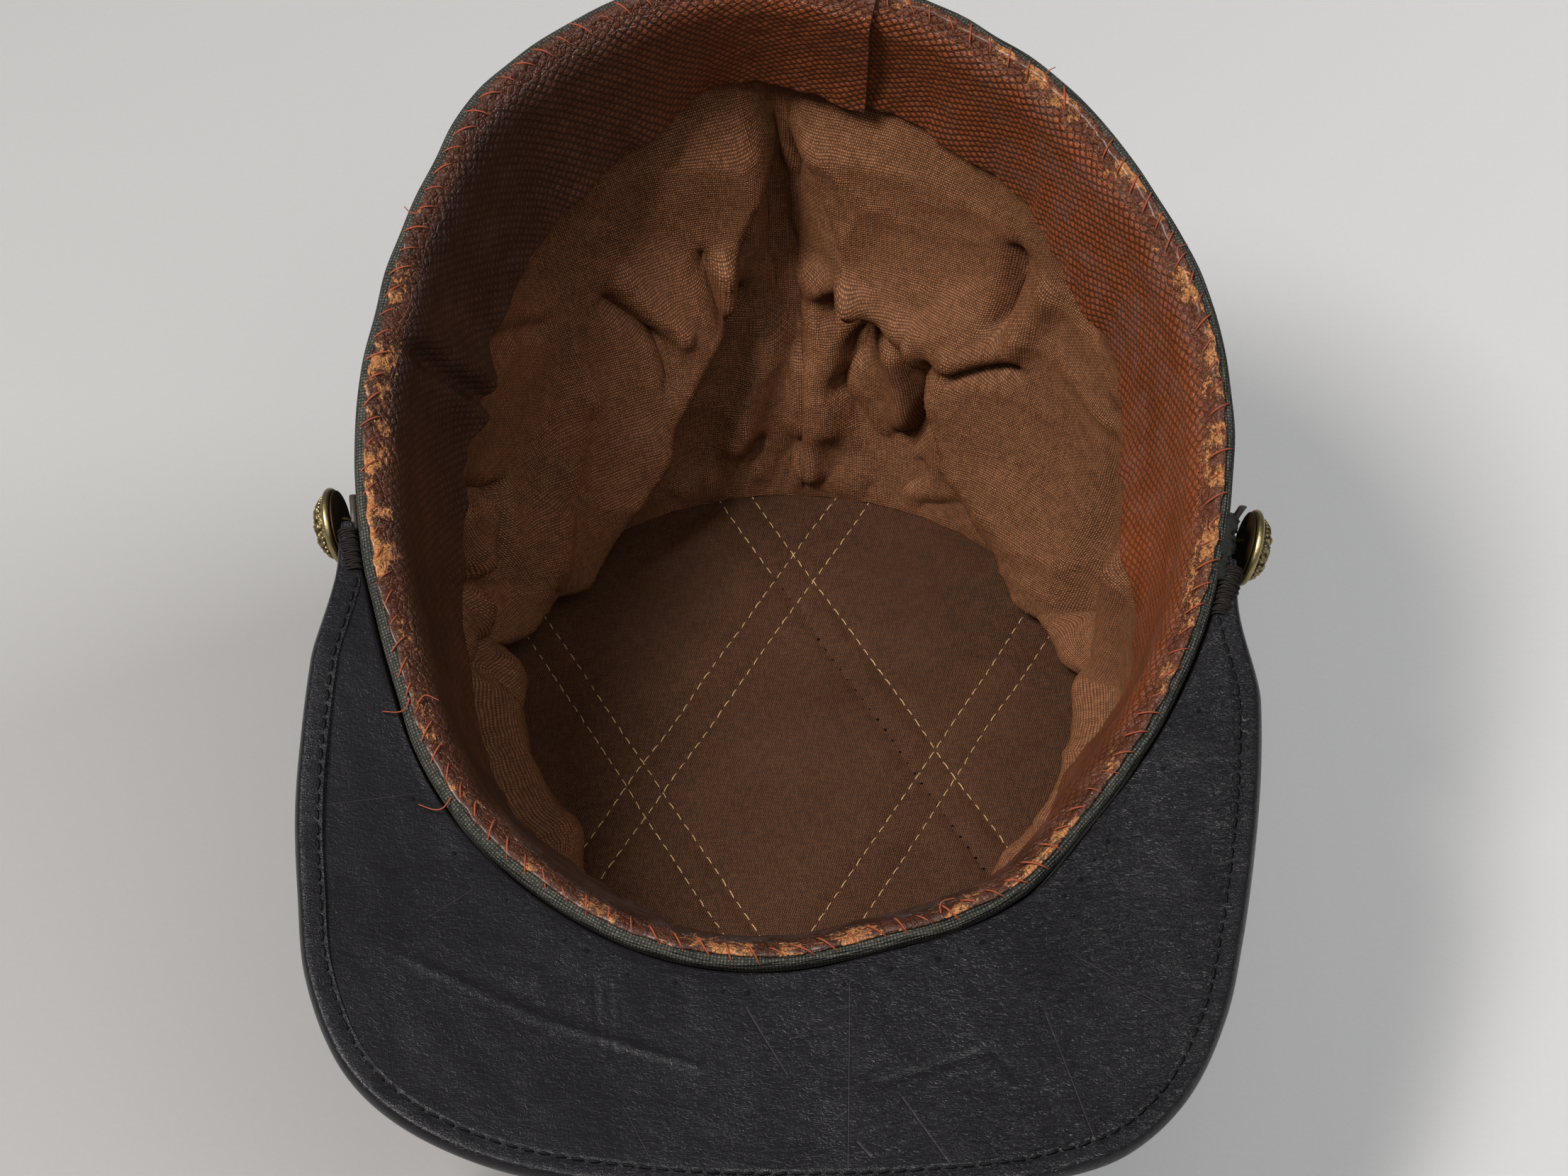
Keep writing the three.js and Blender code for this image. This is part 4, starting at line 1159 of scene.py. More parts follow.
class KepiSizes(bpy.types.PropertyGroup):
    """Sizes of the threads, the stitches and the quilting."""

    lining_pitch: length("Lining thread pitch", 0.42 * MM, "Distance between the lining's threads")
    wool_pitch: length("Wool thread pitch", 0.6 * MM, "Distance between the wool's threads")
    quilt_pitch: length("Quilting pitch", 3.3 * MM, "Distance between the quilting stitches")
    quilt_stitch: length("Quilting stitch", 2.7 * MM, "Length of a quilting stitch")
    quilt_thread: length("Quilting thread", 0.105 * MM, "Radius of the quilting thread")
    quilt_puff: length("Quilting puff", 0.7 * MM, "How far the crown lining rises between its lines")
    rim_pitch: length("Rim stitch pitch", 4.6 * MM, "Distance between the stitches over the rim")
    rim_stitch: length("Rim stitch", 4.6 * MM, "Length of a stitch over the rim")
    rim_thread: length("Rim thread", 0.16 * MM, "Radius of the thread over the rim")
    rim_slant: angle("Rim stitch slant", 130, "How the stitches lie over the rim")
    binding_pitch: length("Binding stitch pitch", 3.0 * MM, "Distance between the binding's stitches")
    binding_stitch: length("Binding stitch", 2.3 * MM, "Length of a stitch of the binding")
    binding_thread: length("Binding thread", 0.3 * MM, "Radius of the binding's thread")


class KepiColours(bpy.types.PropertyGroup):
    """Colours of the cloths, leathers, threads and brass."""

    wool: colour("Wool", 54, 56, 53, "Wool of the side, band and crown tip")
    wool_worn: colour("Worn wool", 86, 83, 75, "Wool where it is faded")
    lining: colour("Lining", 116, 74, 47, "Glazed cotton lining")
    lining_worn: colour("Worn lining", 150, 102, 71, "Lining where it is rubbed")
    sweat_dark: colour("Dark sweatband", 36, 20, 12, "Sweatband where it is darkest")
    sweat_orange: colour("Orange sweatband", 134, 68, 34, "Sweatband where it is lightest")
    sweat_tan: colour("Bare tan", 170, 110, 60, "Leather under the worn grain")
    bloom: colour("Bloom", 78, 74, 76, "Grey bloom on the sweatband")
    visor: colour("Visor", 19, 18, 21, "Waxed leather of the visor")
    strap: colour("Strap", 19, 16, 15, "Leather of the chin strap")
    brass: colour("Brass", 152, 136, 98, "Brass where it is rubbed")
    brass_dark: colour("Dark brass", 60, 48, 32, "Brass in the hollows")
    patina: colour("Patina", 70, 84, 62, "Green crust on the brass")
    quilt_thread: colour("Quilting thread", 206, 170, 124, "Thread of the crown's quilting")
    rim_thread: colour("Rim thread", 152, 78, 54, "Thread over the rim")
    black_thread: colour("Black thread", 15, 14, 15, "Thread of the visor")
    horn_thread: colour("Horn thread", 34, 29, 27, "Thread wound round the ends of the visor")


def looks():
    """The sizes and the colours that the user set, each colour as a plain tuple."""
    scene = bpy.context.scene
    colours = {key: tuple(getattr(scene.kepi_colours, key)) for key in KepiColours.__annotations__}
    return scene.kepi_sizes, SimpleNamespace(**colours)


def lining_cloth(name, colour_scale, turn):
    """The lining's cotton. A factor darkens its colours, and turn is the way its threads run."""
    sizes, colours = looks()
    return cloth_material(
        name, shade(colours.lining, colour_scale), sizes.lining_pitch, turn,
        shade(colours.lining_worn, colour_scale), roughness=0.42, dirt=0.5)


def wool_cloth():
    sizes, colours = looks()
    return bpy.data.materials.get("fulled_wool") or cloth_material(
        "fulled_wool", colours.wool, sizes.wool_pitch, 0.0,
        colours.wool_worn, roughness=0.72, dirt=0.75, ribs=3.0)


def strap_leather():
    return bpy.data.materials.get("strap_leather") or black_leather(
        "strap_leather", looks()[1].strap, roughness=0.5)


def black_thread():
    return bpy.data.materials.get("black_thread") or thread_material(
        "black_thread", looks()[1].black_thread, roughness=0.6)


# Operators, one for each piece or group of like pieces


class KEPI_OT_outer_cloth(bpy.types.Operator):
    """Makes the wool of the side, the band and the crown tip"""

    bl_idname = "kepi.outer_cloth"
    bl_label = "Outer cloth"

    def execute(self, context):
        wool = wool_cloth()
        azimuth = np.linspace(-180, 180, 360, endpoint=False)[:, None]
        share, depth = sheet_section(50, 0.008)
        hem = 3.4 * MM / BAND_HEIGHT
        level = -1 + hem + (2 - hem) * share[None]
        soft = 0.5 * MM * noise_round(azimuth, 15, level * 4, 3) * clamp(1 - level**2)
        inset = WALL_OUTER + (WALL_INNER - WALL_OUTER) * depth[None] + soft
        side = loft("side_cloth", side_point(azimuth, level, inset), ring=True, sharp=50)
        dress(side, wool, ["side_wall"])

        section = np.array(BAND_SECTION) * MM
        inset, height = section[:, 0][None], section[:, 1][None]
        ripple = 0.25 * MM * noise_round(azimuth, 5, height / (9 * MM), 5)
        band = loft("base_band_cloth", band_point(azimuth, height, inset + ripple), ring=True, sharp=50)
        dress(band, wool, ["base_band"])

        edge = 0.5 * MM

        def rounding(x, y):
            """How far the faces of the crown tip draw back at its edge."""
            return edge * clamp((np.hypot(x, y) - TIP_RADIUS + 2 * edge) / (2 * edge)) ** 2

        tip = disc_object(
            "crown_tip_cloth", TIP_RADIUS, 90, lambda x, y: TIP_THICKNESS - 0.6 * rounding(x, y), rounding)
        dress(tip, wool, ["crown_tip"])
        return {"FINISHED"}


class KEPI_OT_side_lining(bpy.types.Operator):
    """Makes the crumpled cotton lining of the side"""

    bl_idname = "kepi.side_lining"
    bl_label = "Side lining"

    def execute(self, context):
        columns, rows = 448, 112
        crowding, covered = 20, 0.1
        azimuth = np.linspace(-180, 180, columns, endpoint=False)[:, None]
        azimuth = azimuth + crowding * np.sin(np.radians(azimuth))
        share = np.linspace(0, 1, rows)
        behind_band = LINING_START * (1 - share / covered)
        level = np.where(share < covered, behind_band, (share - covered) / (1 - covered))[None]
        turn, drop = lining_lean(azimuth, level)
        seen = side_point(azimuth + turn, level + drop, LINING_INNER + lining_inset(azimuth, level))
        seen[..., 2] += SEAM_LIFT * clamp((level - SEAM_LIFT_FROM) / (1 - SEAM_LIFT_FROM))
        around = np.roll(seen, -1, axis=0) - np.roll(seen, 1, axis=0)
        inwards = unit(np.cross(np.gradient(seen, axis=1), around))
        hidden = seen - inwards * (LINING_INNER - LINING_OUTER)
        points = np.concatenate([seen, hidden[:, ::-1]], axis=1)
        lining = loft("side_lining_cloth", points, ring=True)
        dress(lining, lining_cloth("side_cotton", 1.0, 0.03), ["side_lining"])
        return {"FINISHED"}


def quilt_distance(x, y):
    """Distance to the nearest line of the quilting."""
    nearest = np.full_like(x, 1.0)
    for family, place, _ in QUILT_LINES:
        across = x * math.cos(QUILT_LEAN) + family * y * math.sin(QUILT_LEAN)
        nearest = np.minimum(nearest, np.abs(across - place * MM))
    return nearest


def crown_height(x, y):
    """The top of the crown lining, which puffs up between the lines and lies flat at its edge."""
    sizes = looks()[0]
    puff = sizes.quilt_puff * (1 - np.exp(-quilt_distance(x, y) / QUILT_VALLEY))
    soft = 0.35 * MM * lattice_noise(x / CROWN_WAVE + 20, y / CROWN_WAVE + 20, 9)
    fade = clamp((CROWN_LINING_RADIUS - np.hypot(x, y)) / CROWN_FLAT_EDGE)
    return CROWN_LINING_TOP + (puff + soft) * fade - 0.25 * MM * fade


def quilt_path(family, place, share):
    """The part of a quilting line that has its thread, and the rest of it, as two paths."""
    across = np.array([math.cos(QUILT_LEAN), family * math.sin(QUILT_LEAN)])
    along = np.array([family * across[1], -family * across[0]])
    if along[1] > 0:
        along = -along
    half = math.sqrt((CROWN_LINING_RADIUS - 1.2 * MM) ** 2 - (place * MM) ** 2)
    split = -half + 2 * half * share
    paths = []
    for start, end in ((-half, split), (split, half)):
        run = np.linspace(start, end, 90)[:, None]
        flat = across * place * MM + along * run
        bow = 0.35 * MM * lattice_noise(run[:, 0] / (16 * MM) + 30, 1.5, int(place) + 60)
        flat = flat + across * bow[:, None]
        height = crown_height(flat[:, 0], flat[:, 1])[:, None]
        paths.append((np.hstack([flat, height]), UP))
    return paths


class KEPI_OT_crown_lining(bpy.types.Operator):
    """Makes the quilted crown lining, its thread, and dark flattened beads in its empty needle holes that
    paint the shade inside them
    """

    bl_idname = "kepi.crown_lining"
    bl_label = "Quilted crown lining"

    def execute(self, context):
        sizes, colours = looks()
        crown = disc_object(
            "crown_lining_cloth", CROWN_LINING_RADIUS, 196, crown_height,
            lambda x, y: CROWN_LINING_BOTTOM + 0 * x)
        # The crown lining takes 0.36 of the lining's colours, darker than the side lining.
        dress(crown, lining_cloth("crown_cotton", 0.36, 0.26), ["crown_lining"])

        sewn, bare = [], []
        for family, place, share in QUILT_LINES:
            with_thread, without = quilt_path(family, place, share)
            sewn.append(with_thread)
            if share < 1:
                bare.append(without)
        stitch = thread_unit("quilting_stitch", sizes.quilt_stitch, sizes.quilt_thread, 0.2 * MM)
        cream = thread_material("cream_thread", colours.quilt_thread)
        sew("quilting_thread", sewn, stitch, cream, pitch=sizes.quilt_pitch, slant_spread=0.1,
            size_spread=0.12, seed=4)
        # Painted shade: near-black flattened beads stand for the shade inside the empty needle holes.
        dark = thread_material("needle_hole", shade(colours.sweat_dark, 0.12), roughness=0.95)
        hole = bead_unit("crown_hole", CROWN_HOLE, flat=0.3)
        sew("crown_needle_holes", bare, hole, dark, pitch=sizes.quilt_pitch, size_spread=0.25, seed=8)
        return {"FINISHED"}


def sweat_inset(azimuth, height, depth_share):
    """How far the sweatband's outer face lies from the outside of the band at a height."""
    stand_off = from_table(SWEAT_SHAPE, azimuth, 1) * MM
    clear = SWEAT_CLEAR * clamp(-height / SWEAT_CLEAR_DEPTH)
    below = SWEAT_RISE - height
    roll = from_table(SWEAT_LOOK, azimuth, 5) * MM
    roll = roll * (1 - np.exp(-below / (1.3 * MM))) * np.exp(-below / (12 * MM))
    return SWEAT_OUTER + clear + roll + stand_off * np.maximum(depth_share, 0) ** SWEAT_CURL


def sweat_relief(azimuth, share):
    """The pucker at the left, the wavy free edge, and the lumps of old leather, inwards."""
    middle = PUCKER_AZIMUTH - PUCKER_DRIFT * share
    pucker = 2.8 * bell(azimuth - middle + 3.4, 2.4) * share
    groove = -2.6 * bell(azimuth - middle, 1.2) * clamp(share * 4)
    wave = 1.1 * noise_round(azimuth, 7.5, share * 2, 13) * share**2
    wave = wave + 0.5 * noise_round(azimuth, 2.5, share * 3, 14) * share**3
    lump = 0.2 * noise_round(azimuth, 1.8, share * 14, 17, closes=False)
    return (pucker + groove + wave + lump) * MM


class KEPI_OT_sweatband(bpy.types.Operator):
    """Makes the embossed leather sweatband, whose ends lap at the back"""

    bl_idname = "kepi.sweatband"
    bl_label = "Sweatband"

    def execute(self, context):
        travelled = np.linspace(0, 360 + SWEAT_HIDDEN_END - SWEAT_SEEN_END, 760)[:, None]
        ramp = SWEAT_RAMP_START - SWEAT_HIDDEN_END
        lapped = clamp((travelled - (360 - ramp)) / ramp)
        azimuth = wrapped(SWEAT_HIDDEN_END - travelled)
        share, depth = sheet_section(44, 0.017, steps=5)
        share, depth = share[None] ** 1.25, depth[None]
        reach = from_table(SWEAT_SHAPE, azimuth, 2) * MM
        reach = reach + 0.9 * MM * noise_round(azimuth, 4.5, 0.5, 19)
        reach = reach + 0.3 * MM * noise_round(azimuth, 1.2, 1.5, 20)
        height = SWEAT_RISE - (reach + SWEAT_RISE) * share
        ragged = 0.3 * MM * noise_round(azimuth, 0.9, 2.5, 23, closes=False)
        height = height + ragged * clamp(1 - share * 8)
        inset = sweat_inset(azimuth, height, share) + SWEAT_THICK * (1 - depth)
        inset = inset + sweat_relief(azimuth, share) + SWEAT_STEP * lapped
        lip = bell(SWEAT_RISE - height, LIP_DEPTH)
        points = band_point(azimuth, height + LIP_RISE * lip, inset - LIP_REACH * lip)
        edge = bell(np.maximum(SWEAT_RISE - height, 0), 3.4 * MM) + 0 * inset
        free = 0.35 * bell((1 - share) * reach, 1.2 * MM)
        table = {"edge": np.maximum(edge, free)}
        for column, key in enumerate(("tone", "emboss", "wear", "bloom"), start=1):
            table[key] = from_table(SWEAT_LOOK, azimuth, column) + 0 * inset
        band = loft("sweatband_leather", points, attributes=table)
        dress(band, sweat_material(looks()[1]), ["sweatband"])
        return {"FINISHED"}


def horn_neck(azimuth):
    """How far each end of the visor thins where the thread binds it to the cap."""
    inside = np.minimum(azimuth - HORN_LEFT, HORN_RIGHT - azimuth)
    part = clamp((inside - HORN_NECK_FROM) / HORN_NECK_LENGTH)
    return HORN_NECK + (1 - HORN_NECK) * ease(part)


def visor_point(azimuth, share, lift):
    """A point of the visor, from the band at share 0 to its outer edge at share 1."""
    turn = np.radians(azimuth)
    across, forward = RIM_HALF_WIDTH * np.sin(turn), RIM_FRONT * np.cos(turn)
    plain = np.hypot(across, forward)
    root = from_table(RIM_SHAPE, azimuth) + VISOR_SEAT / plain
    edge = from_table(VISOR_SHAPE, azimuth) - BINDING_NOSE / plain
    neck = horn_neck(azimuth)
    reach = np.maximum(edge - root, VISOR_LEAST_REACH) * neck
    lift = lift * neck
    size = root + reach * share
    distance = reach * share * plain
    height = VISOR_ROOT + distance * math.tan(VISOR_DROOP) + lift
    return across * size, forward * size, height


def crease_height(across, forward, creases):
    """The height of straight creases on the visor, some raised and some sunk."""
    raised, sunk = 0.0, 0.0
    for left, front, right, to_front, height, width in creases:
        way_x, way_y = (right - left) * MM, (to_front - front) * MM
        x, y = across - left * MM, forward - front * MM
        part = clamp((x * way_x + y * way_y) / (way_x**2 + way_y**2))
        gap = np.hypot(x - way_x * part, y - way_y * part)
        taper = np.sqrt(1 - (2 * part - 1) ** 4)
        here = height * MM * taper * bell(gap, width * MM)
        raised, sunk = np.maximum(raised, here), np.minimum(sunk, here)
    return raised + sunk


def visor_relief(across, forward):
    soft = 0.35 * lattice_noise(across / (22 * MM) + 30, forward / (22 * MM) + 30, 31)
    fine = 0.12 * lattice_noise(across / (5 * MM) + 30, forward / (7 * MM) + 30, 37)
    return (soft + fine) * MM + crease_height(across, forward, VISOR_CREASES)


class KEPI_OT_visor(bpy.types.Operator):
    """Makes the leather visor, the binding round its edge and their stitches and holes"""

    bl_idname = "kepi.visor"
    bl_label = "Visor"

    def execute(self, context):
        sizes, colours = looks()
        azimuth = np.linspace(HORN_LEFT, HORN_RIGHT, 420)[:, None]
        share, depth = sheet_section(96, 0.006, steps=3)
        side = (0.5 - depth[None]) * VISOR_THICK
        across, forward, height = visor_point(azimuth, share[None], side)
        faded = clamp(np.minimum(share, 1 - share) / 0.05)[None]
        height = height + visor_relief(across, forward) * faded
        plate = loft("visor_leather", in_base(across, forward, height), sharp=60)
        plane = np.stack([across, forward], -1).reshape(-1, 2)
        loops = np.zeros(len(plate.data.loops), np.int32)
        plate.data.loops.foreach_get("vertex_index", loops)
        plate.data.uv_layers[0].data.foreach_set("uv", plane[loops].astype(np.float32).ravel())
        leather = black_leather("visor_waxed", colours.visor, roughness=0.3, scratches=VISOR_SCRATCHES)
        dress(plate, leather, ["visor"])
        self.binding(sizes, colours)
        self.holes(colours)
        return {"FINISHED"}

    def binding(self, sizes, colours):
        """The glossy strip folded round the edge, with a row of stitches on its seen side."""
        azimuth = np.linspace(HORN_LEFT, HORN_RIGHT, 520)[:, None]
        inner = VISOR_THICK / 2 + BINDING_GAP
        outer = inner + BINDING_THICK
        nose = BINDING_GAP + BINDING_THICK
        turn = np.linspace(-np.pi / 2, np.pi / 2, 11)
        flange = np.linspace(-BINDING_WRAP, 0, 6)
        back = np.linspace(0, -BINDING_WRAP, 4)
        out = np.concatenate([flange[:-1], nose * np.cos(turn), flange[::-1][1:], back[::-1], back])
        up = np.concatenate([
            np.full(5, -outer), outer * np.sin(turn), np.full(5, outer),
            np.full(4, inner), np.full(4, -inner)])
        step = 1.5
        turns = azimuth[:, 0]
        edge, root = [in_base(*visor_point(turns, share, 0.0)) for share in (1.0, 0.0)]
        ahead, behind = [
            in_base(*visor_point(np.clip(turns + way, HORN_LEFT, HORN_RIGHT), 1.0, 0.0))
            for way in (step, -step)
        ]
        along = unit(ahead - behind)
        away = edge - root
        away = unit(away - along * np.einsum("ij,ij->i", away, along)[:, None])
        rise = np.cross(along, away)
        rise *= np.sign(rise @ OUTWARD)[:, None]
        room = np.maximum(np.linalg.norm(edge - root, axis=-1) - BINDING_CLEAR_BAND, BINDING_CLEAR_BAND)
        out = np.maximum(out[None], -room[:, None])
        run = np.linalg.norm(np.diff(edge, axis=0), axis=-1).cumsum()
        run = np.concatenate([[0], run])[:, None]
        groove = bell(out + STITCH_LINE, BINDING_GROOVE)
        crimp = -BINDING_CRIMP * groove * (1 + 0.5 * np.cos(2 * np.pi * run / sizes.binding_pitch))
        crimp = crimp + 0.09 * MM * lattice_noise(run / (5 * MM), out / (3 * MM) + 9, 41)
        lifted = up[None] + crimp * np.sign(up[None]) * (np.abs(up[None]) > inner + 0.1 * MM)
        lifted = lifted * horn_neck(azimuth)
        points = edge[:, None] + away[:, None] * out[..., None] + rise[:, None] * lifted[..., None]
        strip = loft("visor_binding_leather", points, sharp=60)
        glossy = black_leather(
            "binding_waxed", colours.visor, roughness=0.24, grain_size=0.8 * MM, shine=0.2)
        dress(strip, glossy, ["visor_binding"])

        inwards = np.minimum(room, STITCH_LINE)[:, None]
        path = edge - away * inwards + rise * (outer - 0.02 * MM) * horn_neck(azimuth)
        seen = (turns > HORN_LEFT + 6) & (turns < HORN_RIGHT - 6)
        stitch = thread_unit("binding_stitch_unit", sizes.binding_stitch, sizes.binding_thread, 0.16 * MM)
        sew("binding_stitches", [(path[seen], rise[seen])], stitch, black_thread(),
            pitch=sizes.binding_pitch, slant_spread=0.12, size_spread=0.1, seed=15)

    def holes(self, colours):
        """The old needle holes along the band, as dark flattened beads that paint the shade inside them."""
        azimuth = np.linspace(HORN_LEFT + 14, HORN_RIGHT - 12, 160)
        turn = np.radians(azimuth)
        plain = np.hypot(RIM_HALF_WIDTH * np.sin(turn), RIM_FRONT * np.cos(turn))
        reach = (from_table(VISOR_SHAPE, azimuth) - from_table(RIM_SHAPE, azimuth)) * plain
        place = NEEDLE_HOLE_LINE + 0.9 * MM * lattice_noise(azimuth / 6 + 40, 0.5, 43)
        across, forward, height = visor_point(azimuth, place / reach, VISOR_THICK / 2)
        height = height + visor_relief(across, forward)
        # Painted shade: dark flattened beads stand for the shade inside the old needle holes.
        dark = black_leather("visor_hole", shade(colours.visor, 0.2), roughness=0.8)
        hole = bead_unit("visor_hole_unit", NEEDLE_HOLE, flat=0.3)
        sew("visor_needle_holes", [(in_base(across, forward, height), OUTWARD)], hole, dark,
            pitch=NEEDLE_HOLE_PITCH, size_spread=0.4, keep=0.5, seed=3)


class KEPI_OT_rim_stitching(bpy.types.Operator):
    """Makes the whip stitches over the rim, their loose ends and the wrapping of the horns"""

    bl_idname = "kepi.rim_stitching"
    bl_label = "Rim stitching"

    def execute(self, context):
        sizes, colours = looks()
        rust = thread_material("rust_thread", colours.rim_thread)
        azimuth = np.linspace(-179, 179, 720)
        wander = 0.5 * MM * noise_round(azimuth, 6, 0.5, 47, closes=False)
        path = band_point(azimuth, RIM_STITCH_HEIGHT, RIM_STITCH_INSET + wander)
        stitch = thread_unit("rim_stitch_unit", sizes.rim_stitch, sizes.rim_thread, 0.6 * MM, steps=8)
        sew("rim_stitches", [(path, OUTWARD)], stitch, rust, pitch=sizes.rim_pitch,
            slant=sizes.rim_slant, slant_spread=0.3, size_spread=0.2, seed=6)
        self.loose_ends(rust, sizes)
        self.horn_wraps()
        self.torn_wool()
        return {"FINISHED"}

    def torn_wool(self):
        """The lumps of matted wool that stand out of the rim beside the right horn."""
        part = np.linspace(0, 1, 60)
        swell = 0.45 + 0.55 * np.abs(np.sin(3 * np.pi * part)) ** 0.7
        ends = np.sqrt(np.clip(1 - (2 * part - 1) ** 6, 0.01, 1))
        azimuth = TORN_WOOL_FROM + (TORN_WOOL_TO - TORN_WOOL_FROM) * part
        middle = band_point(azimuth, -0.6 * MM, -0.1 * MM)
        corners = 24
        rings = tube_points(middle, TORN_WOOL_RADIUS * swell * ends, corners)
        rough = 0.5 * MM * lattice_noise(part[:, None] * 34, np.arange(corners)[None] * 0.5, 83)
        rings = rings + unit(rings - middle[:, None] + 1e-9) * rough[..., None]
        lumps = loft("torn_wool", rings)
        matted = thread_material("matted_wool", shade(looks()[1].wool, 0.45), roughness=0.9)
        dress(lumps, matted)

    def loose_ends(self, rust, sizes):
        """Short ends of thread that curl over the cloth and the leather."""
        ends = []
        for number, (azimuth, inset, height, way, size) in enumerate(LOOSE_ENDS):
            part = np.linspace(0, 1, 12)
            start = band_point(np.array(float(azimuth)), height * MM, inset * MM)
            heading = math.radians(way)
            forward = np.array([math.cos(heading), 0, 0]) + math.sin(heading) * -FORWARD
            curl = np.array([-math.sin(heading), 0, 0]) + math.cos(heading) * -FORWARD
            path = start + forward * (part * size * MM)[:, None]
            path = path + curl * (0.28 * size * MM * np.sin(part * 3.6))[:, None]
            path = path + OUTWARD * (0.5 * MM * np.sin(part * np.pi))[:, None]
            thick = sizes.rim_thread * (1 - 0.4 * part)
            ends.append(loft(f"thread_end_{number}", tube_points(path, thick, THREAD_CORNERS)))
        dress(join("rim_thread_ends", ends), rust)

    def horn_wraps(self):
        """The dark thread wound round each end of the visor, over a core of leather."""
        cores, paths = [], []
        for start, end in HORN_WRAPS:
            middle = band_point(np.linspace(start, end, 14), VISOR_ROOT + 0.3 * MM, -2.1 * MM)
            cores.append(loft("horn_core", tube_points(middle, HORN_CORE_RADIUS, 10)))
            paths.append((middle, OUTWARD))
        dress(join("horn_ends", cores), strap_leather())
        wound = thread_material("wound_thread", looks()[1].horn_thread)
        ring = ring_unit("horn_turn", HORN_TURN_RADIUS, HORN_WIRE)
        sew("horn_thread", paths, ring, wound, pitch=HORN_PITCH, slant_spread=0.22, size_spread=0.08, seed=9)


class KEPI_OT_chin_strap(bpy.types.Operator):
    """Makes the leather chin strap round the front of the band"""

    bl_idname = "kepi.chin_strap"
    bl_label = "Chin strap"

    def execute(self, context):
        past = TAB_LENGTH / (MM_PER_DEGREE * MM)
        past_right = TAB_LENGTH_RIGHT / (MM_PER_DEGREE * MM)
        left, right = BUTTON_AZIMUTH["left"], BUTTON_AZIMUTH["right"]
        azimuth = np.linspace(left - past, right + past_right, 420)[:, None]
        share, depth = sheet_section(12, 0.05, steps=3)
        left_tab = clamp((left - azimuth) / past)
        right_tab = clamp((azimuth - right) / past_right)
        tab = left_tab + right_tab
        past_round = clamp(tab - TAB_ROUND_FROM) / (1 - TAB_ROUND_FROM)
        rounded = np.sqrt(np.clip(1 - past_round**2, 0.03, 1))
        width = STRAP_WIDTH * (1 - STRAP_NARROWING * tab) * rounded
        height = STRAP_MIDDLE + (share[None] - 0.5) * width
        lift = TAB_LIFT_LEFT * left_tab**2 + TAB_LIFT_RIGHT * right_tab**2
        wave = 0.12 * MM * noise_round(azimuth, 4, share[None] * 2, 53, closes=False)
        outset = STRAP_GAP + STRAP_THICK * (1 - depth[None]) + lift + wave * (1 - depth[None])
        strap = loft("chin_strap_leather", band_point(azimuth, height, -outset), sharp=50)
        dress(strap, strap_leather(), ["chin_strap"])
        return {"FINISHED"}


def dome_profile(rise):
    """Radius and height of a button's dome, from its foot at 0 to its top at 90 degrees."""
    return DOME_RADIUS * np.cos(rise) ** 0.62, DOME_FOOT + (BUTTON_DOME - DOME_FOOT) * np.sin(rise) ** 0.9


def dome_object(name, side):
    """The face of a button: a rolled rim, a border of beads and a plain rosette, all worn."""
    turns, rings = 168, 46
    angle_row = full_circle(turns)[:, None]
    rise = np.linspace(0, np.pi / 2, rings)
    radius, height = dome_profile(rise)
    radius[-1] = DOME_AXIS_HOLE
    roll = np.linspace(-0.75 * np.pi, 0.62 * np.pi, 12)
    roll_radius = BUTTON_RADIUS - ROLL_RADIUS + ROLL_RADIUS * np.cos(roll)
    roll_height = BUTTON_LIP + ROLL_RADIUS * np.sin(roll)
    under = np.array([DOME_AXIS_HOLE, BUTTON_RADIUS * 0.5, BUTTON_RADIUS * 0.8])
    radii = np.concatenate([under, roll_radius, radius])
    heights = np.concatenate([np.full(3, BUTTON_FLAT * 0.9), roll_height, height])
    smooth = len(under) + len(roll)
    tilt = np.concatenate([np.zeros(smooth), rise])
    inside = np.concatenate([np.zeros(smooth), np.ones(rings)])
    relief = 0.0
    for times, twist, place, width, lowest, share in DOME_RELIEF:
        pattern = np.clip(np.cos(times * angle_row + twist * tilt), lowest, 1)
        relief = relief + share * pattern * bell(tilt - place, width)
    for times, rows, seed, share in DOME_CAST:
        part_round = angle_row / (2 * np.pi) * times
        relief = relief + share * lattice_noise(part_round, tilt[None] * rows, seed + side, times)
    relief = relief * inside
    radii = radii + relief * RELIEF_DEPTH * np.cos(tilt) * clamp(radii / (2 * MM))
    heights = heights + relief * RELIEF_DEPTH * np.sin(tilt)
    points = np.stack([radii * np.cos(angle_row), radii * np.sin(angle_row), heights], -1)
    rubbed = clamp(0.4 + 0.75 * relief)
    rubbed[:, len(under):smooth] = 0.8
    rubbed[:, :len(under)] = 0.05
    made = loft(name, points, ring=True, attributes={"relief": rubbed}, sharp=70)
    return close_poles(made, points)


def close_poles(made, points):
    """Fills the two small rings that a turned body leaves at its axis."""
    turns, corners = points.shape[:2]
    mesh = made.data
    faces = [list(face.vertices) for face in mesh.polygons]
    ends = [list(range(first, turns * corners, corners)) for first in (0, corners - 1)]
    kept = [face for face in faces if not all(set(face) & set(end) for end in ends)]
    caps = [end[::-1] if faces_turn(kept, end) else end for end in ends]
    relief = np.zeros(len(mesh.vertices), np.float32)
    mesh.attributes["relief"].data.foreach_get("value", relief)
    places = [tuple(vertex.co) for vertex in mesh.vertices]
    closed = bpy.data.meshes.new(made.name)
    closed.from_pydata(places, [], kept + caps)
    write_values(closed, "relief", relief)
    smooth_mesh(closed, 70)
    made.data = closed
    bpy.data.meshes.remove(mesh)
    return made


